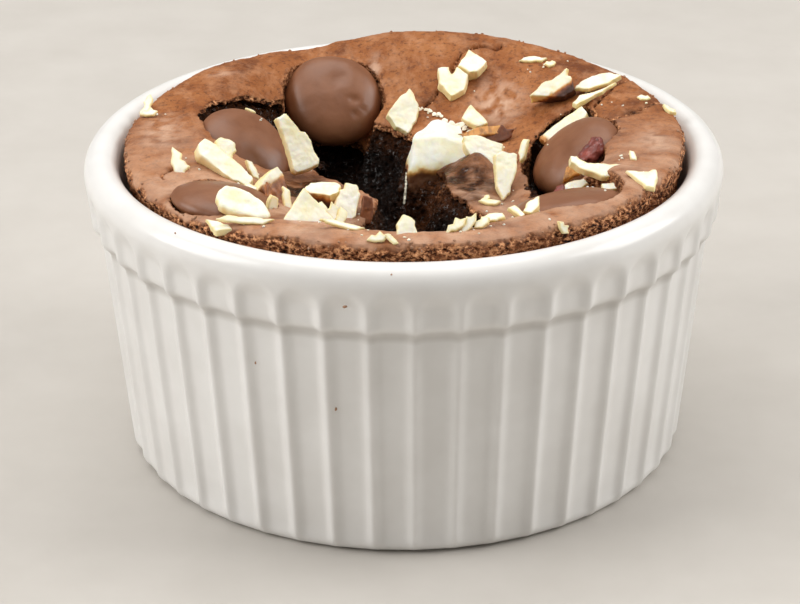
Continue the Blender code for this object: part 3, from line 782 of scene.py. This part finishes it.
def evened(piece, size):
    """Gives the piece an even skin of small faces this many mm wide."""
    only(piece)
    skin = piece.modifiers.new("even skin", "REMESH")
    skin.mode = "VOXEL"
    skin.voxel_size = size * MM
    bpy.ops.object.modifier_apply(modifier=skin.name)
    bpy.ops.object.shade_smooth()


def middle_of(node):
    """The middle of a solid's box."""
    low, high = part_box(node)
    return (low + high) / 2


# Its front and left side slope back as they rise, its top tips down to the right, and its foot spreads
evened(chunk, 0.2)
shape = points_of(chunk) / MM
x, y, z = shape.T
foot = eased((-0.5 - z) / 3.0)
shape[:, :2] *= (1 + 0.05 * foot)[:, None]
y += (3.3 * eased((z + 0.4) / 4.8) - 0.5 * foot) * eased(0.5 - y / 6)
x += (3.2 * eased(0.15 + y / 5.5) + 1.1 * eased((z + 1) / 4)) * eased(0.4 - x / 7)
z += 0.08 * x - 1.5 * eased((x - 0.5) / 4.0) * eased(z / 3.0)
set_points(chunk, shape * MM)
keep(chunk, "melted", eased((1.2 - z + 0.7 * lumps(shape, 1.6, 3, 11.0)) / 2.6))
dents = 0.16 * lumps(shape, 3.6, 3, 2.0) + 0.06 * lumps(shape, 0.9, 3, 5.0)
pushed(chunk, dents + foot * 0.35 * lumps(shape, 1.2, 3, 9.0))

material, tree, shader = procedural("white_chocolate")
cream = grain(tree, 260.0, 5.0, 0.6)
clean = ramp(tree, cream, [(0.3, (0.97, 0.90, 0.67)), (0.5, (1.0, 0.95, 0.78)), (0.7, (1.0, 0.98, 0.87))])
melted = stored(tree, "melted")
soaked = ramp(tree, melted, [(0.4, (0.86, 0.66, 0.30)), (0.8, (0.52, 0.27, 0.08)), (1.0, (0.16, 0.06, 0.02))])
feed(shader, {
    "Base Color": blend_colours(tree, ramp(tree, melted, [(0.0, 0.0), (0.6, 1.0)]), clean, soaked),
    "Roughness": 0.5,
    "Subsurface Weight": 0.85, "Subsurface Radius": (0.005, 0.004, 0.0026), "Subsurface Scale": 1.0,
    "Normal": bumps(tree, grain(tree, 900.0, 4.0, 0.6), 0.3, 0.0003),
})
stand = placed(middle_of("white_chunk") + Vector(CHUNK_SHIFT) * MM, CHUNK_WAY, CHUNK_TURN)
into_place(chunk, stand, material, "white_chunk")

# ---------------- the chopped almonds
# Blanched almonds chopped by hand and strewn on before baking: cream flesh with clean cut faces and
# broken edges. A few kept a strip of brown skin, and a few have toasted at one side.

# Each piece: thickness, the way its broad face looks, the heading of its length in degrees, and its outline
# about its middle, in mm
ALMONDS = {
    "almond_bar": (1.8, (0.2, -0.55, 0.8), -28, [
        (-5, 0.9), (-5, -0.8), (-3.6, -1.9), (2.6, -1.7), (4.7, -0.9), (4.6, 0.7), (3.2, 1.2), (-3, 1.3)]),
    "almond_bar_flake": (0.9, (0.2, -0.75, 0.6), -44, [
        (-2, 0.2), (-1.8, -0.9), (-0.8, -1.3), (1.4, -0.9), (2, -0.2), (1.1, 0.3), (0.9, 1.2),
        (-0.6, 1.4)]),
    "almond_wedge": (1.9, (0.2, -0.8, 0.55), -46, [
        (-5.2, -1.7), (-5.3, -0.1), (-1.9, 0.8), (-1.6, 1.5), (3, 1.7), (3.7, 1.2), (3.6, -2.5),
        (3, -2.8)]),
    "almond_edge_chip": (1.0, (0.0, -0.2, 1.0), -36, [
        (-2.7, 0.3), (-1.4, 0.8), (1.2, 0.9), (2.3, 0.3), (0.8, -1.4), (-0.6, -0.9)]),
    "almond_skin_side": (2.6, (0.5, -0.6, 0.6), -64, [
        (0, -3.2), (-2.1, -1), (-3.2, 1.2), (-2.2, 1.8), (3, 2), (3.5, 1.2), (2.3, -1.7)]),
    "almond_sliver": (1.2, (0.1, -0.4, 0.9), -41, [
        (-1.9, -0.8), (-1.7, 0.3), (1.2, 0.7), (2.1, 0), (1.6, -0.9)]),
    "almond_triangle": (1.7, (0.1, -0.8, 0.6), 100, [
        (4.1, 0.4), (-0.4, 3.9), (-3.0, 4.5), (-3.3, -4.2), (-2.4, -4.5)]),
    "almond_cross_cut": (3.0, (0.0, -0.3, 0.95), -19, [
        (-2.9, -0.6), (-2.4, 0.9), (0.4, 1.7), (2.2, 1.3), (2.7, -0.3), (1.6, -1.6), (-1.6, -1.6)]),
    "almond_block": (1.7, (0.1, -0.8, 0.6), 76, [
        (3, 0.8), (2.9, -0.9), (1.6, -1.7), (-2, -1.6), (-2.9, -0.6), (-1.9, 1.4), (-0.4, 1.8), (1.8, 1.5),
        (1.9, 0.9)]),
    "almond_dark_bit": (2.2, (0.1, -0.8, 0.6), 78, [
        (2, 0.8), (1.9, -0.6), (0.4, -1), (-2, -0.8), (-2.1, 0.9)]),
    "almond_on_lip": (1.2, (0.1, -0.8, 0.6), 100, [
        (1.7, 0.1), (0.5, -1.4), (-1.3, -1.6), (-1.5, 1.5), (0.3, 1.3)]),
    "almond_by_back_button": (1.6, (0.1, -0.7, 0.7), 62, [
        (3.5, 1), (1.6, -1.4), (-1, -2.1), (-3.6, -1.6), (-3.4, 0.6), (-2, 2.6), (0.6, 2.2)]),
    "almond_back_low": (1.7, (0.0, -0.5, 0.86), -72, [
        (-2.9, -1.7), (-2.7, 0.2), (-1.2, 0.1), (-2.4, 1.4), (-0.5, 2.7), (2.2, 1.3), (2.9, -1.2),
        (0, -2.4)]),
    "almond_back_high": (1.7, (0.0, -0.5, 0.86), -80, [
        (-2.8, 0), (0.4, 2.5), (2.4, 0.5), (2.3, -0.8), (0.6, -2.4)]),
    "almond_toasted": (2.6, (-0.1, -0.75, 0.65), 9, [
        (3.5, 2.2), (2.9, 0.9), (3.5, 0.5), (3.3, -1.9), (1.2, -2.5), (-3.7, -0.4), (-1.3, 1.0), (1, 1.3)]),
    "almond_rim_slice": (0.8, (-0.1, -0.3, 0.95), 8, [
        (-3.8, -0.5), (-2.6, 0.9), (-0.4, 1.9), (2.2, 1.8), (4, 0.4), (1.4, -1), (-1.6, -1.3)]),
    "almond_rim_sliver": (0.8, (-0.1, -0.3, 0.95), 28, [
        (-4, -1), (-4.2, 0), (-2.4, 0.9), (1.2, 0.1), (4.2, 0.2), (1, -0.6), (-2, -0.8)]),
    "almond_strip": (1.7, (-0.2, -0.6, 0.8), 22, [
        (-4.1, 0.9), (-4.1, -0.7), (-2.9, -1), (3.2, -1.3), (4.1, -0.7), (4.1, 0.9)]),
    "almond_skin_strip": (1.2, (0.0, -0.5, 0.86), 11, [
        (-3.6, 0.3), (-2.6, -0.7), (3.2, -0.9), (3.6, 0.8), (0.5, 1.1)]),
    "almond_corner": (1.5, (0.0, -0.7, 0.7), -28, [(-1.9, 1.4), (2.2, 0.4), (1.2, -1.3), (-1.8, -1.4)]),
    "almond_by_chunk": (1.9, (0.0, -0.7, 0.7), -20, [
        (-3.7, 0.6), (-1.8, 1.9), (2.4, 2.4), (2.9, 1.1), (3.4, -1.6), (0.6, -2.7), (-2.4, -1)]),
    "almond_hanging": (1.1, (0.2, -0.7, 0.7), 77, [
        (3, 2.1), (4, 0.9), (3.9, -1.3), (1, -1.5), (-2.4, -1.2), (-4, -0.2), (-2, 1.1)]),
    "almond_shelf_sliver": (1.0, (-0.3, -0.7, 0.6), 57, [
        (1.9, 0.5), (2, -0.4), (-0.8, -0.8), (-2, -0.3), (-0.6, 0.5)]),
    "almond_low_wedge": (1.4, (0.0, -0.4, 0.9), 8, [
        (-2.3, -0.6), (-0.4, 0.9), (1.9, 1.2), (2.3, 0), (0.6, -0.9)]),
    "almond_orange_chip": (1.3, (0.0, -0.7, 0.7), 33, [(-1.5, 0), (0.2, 1.2), (1.4, 1), (1.1, -1)]),
    "almond_small_block": (1.3, (0.0, -0.4, 0.9), 4, [
        (-1.5, 0.7), (1.4, 0.8), (1.5, -0.5), (0.4, -0.8), (-1.5, -0.6)]),
    "almond_curl": (1.2, (0.0, -0.5, 0.86), -12, [
        (-4.2, 1.4), (-3.2, 1.6), (-1.6, 0.7), (1.0, 1.2), (3.4, 1.8), (5.2, 1.4), (4.2, -0.3), (1, -1.3),
        (-1.6, -0.8), (-3.9, 0.2)]),
    "almond_right_flake": (0.6, (0.05, -0.1, 1.0), -79, [
        (-2.6, -2.4), (-1.9, 0.2), (-2.4, 2.2), (0.4, 1.6), (3.2, 0.3), (2.6, -0.8), (0.7, -1.4)]),
    "almond_front_wedge": (1.1, (0.0, -0.4, 0.9), 52, [
        (-2, 0.5), (0.4, 0.9), (2, 0.3), (0.4, -0.8), (-1.6, -0.8)]),
    "almond_front_sliver": (1.0, (0.0, -0.4, 0.9), -50, [
        (-1.4, -0.5), (-1.2, 0.6), (1.3, 0.6), (1.4, -0.4)]),
    "almond_front_flake": (0.9, (0.0, -0.4, 0.9), 11, [
        (-1.6, 0.2), (-0.6, 0.8), (1.4, 0.7), (1.6, -0.2), (0.2, -0.7), (-1.2, -0.6)]),
}
# The browned side of some: the way to it, where the brown starts, and how far it goes
BROWNED = {
    "almond_wedge": ((0.7, -0.3, -0.7), 2.6, 0.35),
    "almond_skin_side": ((0.95, 0.3, 0.0), -1.7, 0.58),
    "almond_cross_cut": ((0.0, -0.9, -0.45), 0.45, 1.0),
    "almond_dark_bit": ((0, 0, 1), -2.0, 0.72),
    "almond_toasted": ((0.25, -0.85, -0.45), 0.1, 1.0),
    "almond_strip": ((-1, -0.3, -0.2), 2.6, 0.45),
    "almond_skin_strip": ((0, 0, 1), -2.0, 0.36),
    "almond_orange_chip": ((0, 0, 1), -2.0, 0.35),
}
SPLIT_KERNEL = [(-4.4, 0), (-4.1, 1.2), (-2.9, 2), (-0.6, 2.3), (2, 1.8), (3.8, 0.5), (4.1, -0.4),
                (2.4, -1.4), (-0.6, -2.2), (-2.6, -2.3), (-4.1, -1.3)]
PLUMP = 1.08  # how much wider a piece starts, so that its softened edges end where the outline is
UPPER_SIDE = (0.95, 0.92, 1)  # how much smaller its upper side is

random.seed(5)


def broken(outline, wander=0.16):
    """The outline with two more corners on each longer side, where the nut did not break quite straight."""
    corners = []
    for (x, y), (next_x, next_y) in zip(outline, outline[1:] + outline[:1]):
        corners.append((x, y))
        run_x, run_y = next_x - x, next_y - y
        long = math.hypot(run_x, run_y)
        for share in (0.35, 0.7) if long > 1.4 else ():
            push = random.uniform(-wander, wander) / long
            corners.append((x + run_x * share + push * run_y, y + run_y * share - push * run_x))
    return corners


def chopped(name, outline, thick, bevel=0.06, skin=0.13):
    """The outline filled and pulled up to its thickness, its upper side a little smaller, its edges
    softened and its skin made even. Its middle is at the origin, and "edge" tells how near one is."""
    outline = broken(outline)
    piece = started(name, bpy.ops.mesh.primitive_circle_add, vertices=len(outline), fill_type="NGON")
    set_points(piece, np.array([(PLUMP * x, PLUMP * y, -thick / 2) for x, y in outline]) * MM)
    with editing():
        bpy.ops.mesh.extrude_region_move(TRANSFORM_OT_translate={"value": (0, 0, thick * MM)})
        bpy.ops.transform.resize(value=UPPER_SIDE, center_override=(0, 0, 0))
        bpy.ops.mesh.select_all(action="SELECT")
        bpy.ops.mesh.normals_make_consistent(inside=False)
        bpy.ops.mesh.bevel(offset=bevel * MM, segments=2, affect="EDGES")
    evened(piece, skin)
    shape = points_of(piece) / MM
    in_from_edge = inside_by(shape[:, :2], PLUMP * np.array(outline))[0]
    keep(piece, "edge", 0.8 * eased(1 - in_from_edge / 0.45) + 0.2 * eased(-shape[:, 2] / thick))
    return piece


material, tree, shader = procedural("almond_flesh")
veins = grain(tree, 300.0, 4.0, 0.6)
flesh = ramp(tree, veins, [(0.32, (0.95, 0.87, 0.57)), (0.45, (0.99, 0.95, 0.73)), (0.65, (1.0, 0.99, 0.86))])
waxy = blend_colours(tree, stored(tree, "edge"), flesh, (0.86, 0.66, 0.26))
browned = stored(tree, "browned")
browns = [(0.25, (0.72, 0.38, 0.10)), (0.5, (0.44, 0.15, 0.03)), (0.75, (0.20, 0.06, 0.018))]
toast = ramp(tree, browned, [*browns, (1.0, (0.05, 0.014, 0.006))])
streaks = grain(tree, 900.0, 4.0, 0.7, (1, 0.25, 1))
skin = blend_colours(tree, ramp(tree, streaks, [(0.42, 0.55), (0.55, 0.0)]), toast, (0.09, 0.026, 0.010))
feed(shader, {
    "Base Color": blend_colours(tree, ramp(tree, browned, [(0.0, 0.0), (0.3, 1.0)]), waxy, skin),
    "Roughness": 0.48,
    "Subsurface Weight": 0.35, "Subsurface Radius": (0.0015, 0.0011, 0.0006), "Subsurface Scale": 1.0,
    "Normal": bumps(tree, grain(tree, 1100.0, 4.0, 0.6), 0.3, 0.0002),
})
almond_flesh = material

for number, (name, (thick, way, heading, outline)) in enumerate(ALMONDS.items()):
    piece = chopped(name + "_chopped", outline, thick)
    shape = points_of(piece) / MM
    shape[:, 2] *= 1 + (0.3 if number % 2 else -0.3) * shape[:, 0] / np.abs(shape[:, 0]).max()
    set_points(piece, shape * MM)
    chips = lumps(shape * (0.5, 1, 1), 0.8, 2, 5.0 + number)
    pushed(piece, 0.14 * lumps(shape, 2.4, 3, 3.0 * number) + 0.04 * chips)
    toasted = np.zeros(len(shape))
    if name in BROWNED:
        side, start, most = BROWNED[name]
        past = shape @ Vector(side).normalized() - start + 0.3 * lumps(shape, 1.2, 2, number)
        toasted = most * eased(past / 1.3)
    keep(piece, "browned", toasted)
    into_place(piece, placed(middle_of(name), way, heading), almond_flesh, name)

# the half kernel: a whole almond split along its length, its cut face up
piece = chopped("almond_half_kernel_split", SPLIT_KERNEL, 1.8, 0.5)
shape = points_of(piece) / MM
far = np.hypot(shape[:, 0] / 2.6, shape[:, 1] / 1.1)
shape[:, 2] -= 0.35 * np.exp(-(far**2)) * (shape[:, 2] > 0)
set_points(piece, shape * MM)
pushed(piece, 0.10 * lumps(shape, 2.6, 2, 71.0) + 0.05 * lumps(shape, 0.7, 3, 73.0))
keep(piece, "browned", np.zeros(len(shape)))
stand = placed(middle_of("almond_half_kernel"), (0.1, -0.55, 0.82), -21)
into_place(piece, stand, almond_flesh, "almond_half_kernel")

# ---------------- the red chip
# Two wrinkled reddish brown scraps of dried fruit, hard and a little glossy after baking: one lies on the
# right button, and a smaller one by the orange almond chip.

CHIP = [(-2.4, 0.6), (-1.4, 1.6), (0.6, 1.5), (2.2, 1.4), (2.5, 0.2), (1.4, -1.5), (-0.6, -1.6), (-2.1, -1)]
CHIP_CRUMB = [(-1.3, 0.2), (-0.6, 0.9), (0.8, 0.8), (1.3, -0.2), (0.4, -0.9), (-0.9, -0.8)]
CHIP_WAY = (-0.5, -0.3, 0.8)
CRUMB_SHIFT = (-0.2, -1.6, -0.4)  # from the low corner of the orange chip's box, in mm

piece = chopped("red_chip_wrinkled", CHIP, 1.8, 0.5, 0.16)
shape = points_of(piece) / MM
pushed(piece, 0.25 * lumps(shape, 1.6, 3, 31.0) - 0.18 * pores(shape, 1.0, 4.0))
crumb = chopped("red_chip_crumb", CHIP_CRUMB, 1.2, 0.3, 0.16)
pushed(crumb, 0.2 * lumps(points_of(crumb) / MM, 1.2, 3, 33.0))
material, tree, shader = procedural("red_brown_chip")
blush = ramp(tree, grain(tree, 500.0, 5.0, 0.6), [(0.35, (0.10, 0.022, 0.016)), (0.7, (0.33, 0.075, 0.055))])
feed(shader, {"Base Color": blush, "Roughness": 0.35})
into_place(piece, placed(middle_of("red_chip"), CHIP_WAY, 42), material, "red_chip")
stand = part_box("almond_orange_chip")[0] + Vector(CRUMB_SHIFT) * MM
into_place(crumb, placed(stand, CHIP_WAY, 60), material)

# ---------------- the small almond flakes
# Paper-thin flakes and splinters that broke off while the almonds were chopped, lying where they fell on
# the crust, the buttons and between the larger chips.

SHAPES = {  # outlines one unit long
    "shard": [(-0.5, -0.1), (-0.32, 0.34), (0.05, 0.22), (0.14, 0.42), (0.5, 0.1), (0.3, -0.3),
              (-0.1, -0.42)],
    "jagged": [(-0.5, 0.0), (-0.2, 0.3), (-0.05, 0.14), (0.2, 0.42), (0.28, 0.1), (0.5, -0.05),
               (0.22, -0.4), (-0.15, -0.3)],
    "splinter": [(-0.5, -0.1), (-0.3, 0.4), (0.2, 0.35), (0.5, 0.2), (0.3, -0.4), (-0.2, -0.3)],
}
# Each flake: shape, place from above, length, width, thickness, heading and how far it is propped up, in
# mm and degrees; each bit of skin has how brown it is as well
FLAKES = (
    ("jagged", -34.2, -12.4, 6.4, 3.4, 0.45, -62, 40), ("shard", -41.2, 12.6, 4.6, 2.4, 0.45, 65, 30),
    ("jagged", -40.6, 9.0, 3.2, 2.4, 0.5, 10, 35), ("shard", -19.4, -25.6, 4.6, 2.8, 0.7, -15, 45),
    ("splinter", -17.6, -20.0, 5.0, 1.9, 0.8, -72, 50), ("splinter", -8.8, -37.6, 7.2, 1.4, 0.5, -6, 35),
    ("shard", -12.4, -26.4, 4.4, 3.0, 0.6, 70, 55), ("jagged", -10.5, -28.0, 4.6, 2.8, 0.6, 105, 55),
    ("splinter", -9.2, -30.6, 3.4, 2.0, 0.9, 80, 50), ("shard", -7.4, -28.4, 3.4, 2.4, 0.9, -15, 45),
    ("splinter", -12.8, -9.0, 3.4, 1.6, 1.0, -5, 20), ("shard", 28.4, -15.6, 2.6, 1.8, 1.1, 10, 20),
    ("jagged", 7.4, -39.0, 4.0, 2.4, 0.6, 30, 50), ("jagged", 9.2, -38.4, 4.2, 2.2, 0.6, 48, 50),
    ("shard", 11.2, -38.2, 2.8, 2.2, 0.6, 15, 45), ("splinter", 13.2, -11.8, 3.6, 1.7, 0.5, -8, 20),
    ("shard", 12.6, -10.4, 2.0, 1.4, 0.5, 40, 20), ("splinter", -23.0, -34.8, 9.0, 1.7, 0.5, -4, 35),
    ("shard", 38.7, 13.4, 2.5, 2.0, 0.4, -30, 5), ("jagged", 42.4, 8.6, 3.2, 2.2, 0.6, -45, 10),
    ("splinter", 21.6, 29.9, 5.0, 1.7, 0.5, -8, 8), ("shard", 24.4, 28.2, 2.0, 2.0, 0.5, 0, 8),
    ("splinter", 34.9, -12.0, 2.6, 1.4, 0.5, -75, 15), ("jagged", 23.4, -38.0, 2.6, 2.0, 0.6, 5, 30),
    ("jagged", -3.8, -42.2, 3.4, 2.2, 0.45, 12, 35), ("splinter", -1.8, -42.6, 2.6, 1.2, 0.45, -35, 35),
    ("splinter", -24.6, 12.6, 2.2, 0.9, 0.4, -30, 10), ("shard", 17.4, 3.2, 1.8, 1.4, 0.7, 40, 30),
    ("splinter", -23.4, -7.4, 4.0, 1.6, 0.8, -50, 40),
)
SKINS = (
    ("jagged", 15.4, 11.6, 5.6, 3.6, 0.4, 8, 45, 0.82), ("jagged", -20.2, -19.8, 4.2, 2.4, 0.5, -70, 45, 0.5),
)
FLAKE_BOW = 0.15  # how far a flake's ends curl up or down, as a share of its length


def resting(x, y, supports=(brownie, *domes)):
    """The highest spot of the supports at x, y in mm, or just inside their edge, and the way it faces."""
    hits = []
    while not hits:
        above = Vector((x * MM, y * MM, RIM + 50 * MM))
        hits = [support.ray_cast(above, Vector((0, 0, -1))) for support in supports]
        hits = [hit for hit in hits if hit[0]]
        x, y = 0.99 * x, 0.99 * y
    _, spot, way, _ = max(hits, key=lambda hit: hit[1].z)
    return spot, way


pieces = []
for number, row in enumerate([(*row, 0.0) for row in FLAKES] + list(SKINS)):
    kind, x, y, length, width, thick, heading, propped, brown = row
    outline = [(length * a / PLUMP, width * b / PLUMP) for a, b in SHAPES[kind]]
    piece = chopped("flake", outline, thick, 0.05)
    shape = points_of(piece) / MM
    pushed(piece, 0.06 * lumps(shape, 1.2, 3, 40.0 + number))
    shape = points_of(piece) / MM
    shape[:, 2] += FLAKE_BOW * (shape[:, 0] / length) ** 2 * length * (1 if number % 2 else -1)
    set_points(piece, shape * MM)
    spot, way = resting(x, y)
    slope = math.radians(propped)
    lean = (way.normalized() + Vector((0, -math.tan(slope), 0))).normalized()
    lift = 0.35 * width * math.sin(slope) + 0.35 * thick
    piece.data.transform(placed(spot + Vector((0, 0, lift * MM)), lean, heading))
    keep(piece, "browned", np.full(len(shape), brown))
    pieces.append(piece)
bpy.ops.object.select_all(action="DESELECT")
for piece in pieces:
    piece.select_set(True)
bpy.context.view_layer.objects.active = pieces[0]
bpy.ops.object.join()
flakes = bpy.context.object
flakes.name = "almond_flakes"
into_place(flakes, Matrix.Identity(4), almond_flesh)

# ---------------- crumbs
# Almond dust round the chips, brown crumbs broken off along the rough edge, white crumbs and a thin melted
# run beside the chunk, and a few specks that dropped on the dish, each pressed a little into what it is on.

DUST_SIZES = (0.25, 0.6)  # here and below, in mm
DUST_REACH = 42.5  # no dust lies further out, or deeper than this under the lip
DUST_DEPTH = 7.5
BROWN_CRUMBS = 110
BROWN_BAND = (42.9, 43.7)  # how far out they lie
WHITE_ACROSS = np.arange(2.7, 12.4, 0.35)  # x of each white crumb, behind the chunk
WHITE_LINE = (24.4, -0.75)  # where their line is at x = 0, and its slope
RUN_STEPS = 42
RUN_START = (0.5, -6.0, -7.8)  # in front of the melted run's upper end, from the lip's height
RUN_STEP = (-0.01, 0.0, -0.1)
# Each speck: degrees round the dish, height and size
FALLEN = (
    (-132.7, 49.2, 0.5), (-92.1, 48.3, 0.35), (-87.8, 47.0, 0.55), (-99.7, 43.4, 0.65), (-102.5, 25.2, 0.5),
    (-117.6, 31.0, 0.35),
)

random.seed(8)


def strewn(name, spots, material, thin=1.0):
    """One piece made of small rough lumps, one for each (place, way, size in mm); thin ones lie flatter."""
    piece = started(name, bpy.ops.mesh.primitive_ico_sphere_add, subdivisions=1, radius=0.5)
    lump = points_of(piece)
    faces = np.array([list(face.vertices) for face in piece.data.polygons])
    points = []
    for spot, way, size in spots:
        sides = [random.uniform(0.7, 1.3), random.uniform(0.6, 1.0), random.uniform(0.4, 0.8) * thin]
        shape = lump * sides * [[random.uniform(0.75, 1.25)] for _ in lump] * size * MM
        turned_to = placed(Vector(spot) + Vector(way) * 0.15 * size * MM, way, random.uniform(0, 360))
        points.append(shape @ np.array(turned_to.to_3x3()).T + np.array(turned_to.translation))
    mesh = bpy.data.meshes.new(name)
    every = np.concatenate([faces + k * len(lump) for k in range(len(spots))])
    mesh.from_pydata(np.concatenate(points).tolist(), [], every.tolist())
    piece.data = mesh
    only(piece)
    if thin == 1.0:
        bpy.ops.object.shade_smooth()
    into_place(piece, Matrix.Identity(4), material)
    return piece


# middle, how many bits and how far they spread each way, in mm
heaps = [(x, y, 3, 2.0, 1.6) for _, x, y, *_ in FLAKES]
heaps += [(*(middle_of(name) / MM).xy, 2, 2.6, 2.2) for name in ALMONDS]
dust = []
for x, y, bits, wide, deep in heaps:
    for _ in range(bits):
        dust.append((random.gauss(x, wide), random.gauss(y, deep), random.uniform(*DUST_SIZES)))
spots = [(*resting(x, y), size) for x, y, size in dust if math.hypot(x, y) < DUST_REACH]
spots = [row for row in spots if row[0].z > RIM - DUST_DEPTH * MM]
strewn("almond_dust", spots, almond_flesh)

spots = []
for _ in range(BROWN_CRUMBS):
    turn = random.uniform(0, 2 * math.pi)
    out = random.uniform(*BROWN_BAND)
    spot = resting(out * math.cos(turn), out * math.sin(turn), [brownie])
    spots.append((*spot, random.uniform(0.3, 0.7)))
rubble = strewn("brown_crumbs", spots, bpy.data.materials["chocolate_crumb"])
keep(rubble, "crumb", np.ones(len(rubble.data.vertices)))

# white chocolate that crumbled off behind the chunk, and a thin run of it down the edge of the mound
spots = []
for x in WHITE_ACROSS:
    y = WHITE_LINE[0] + WHITE_LINE[1] * x + random.gauss(0, 0.6)
    spots.append((*resting(x, y, [brownie]), random.uniform(0.4, 1.4)))
for step in range(RUN_STEPS):
    start = (Vector(RUN_START) + Vector(RUN_STEP) * step) * MM + Vector((0, 0, RIM))
    hit, spot, way, _ = brownie.ray_cast(start, Vector((0, 1, 0)))
    if hit:
        spots.append((spot, way + Vector((0, 0, 0.2)), 0.45))
strewn("white_crumbs", spots, bpy.data.materials["white_chocolate"], thin=0.6)

# the specks: the collar rounds in as it nears the lip, and the wall under it leans in towards the foot
spots = []
for turn, height, size in FALLEN:
    rounding = 0.3 * max(height - (RIM - LIP_RISE) / MM, 0.0)
    inward = 0.3 + rounding if height > COLLAR_FOOT[1] else 6.2 - 0.1 * height
    out = DISH_RADIUS - inward * MM
    way = (math.cos(math.radians(turn)), math.sin(math.radians(turn)), 0.2)
    spots.append(((out * way[0], out * way[1], height * MM), way, size))
strewn("specks_on_the_dish", spots, bpy.data.materials["chocolate_crumb"])
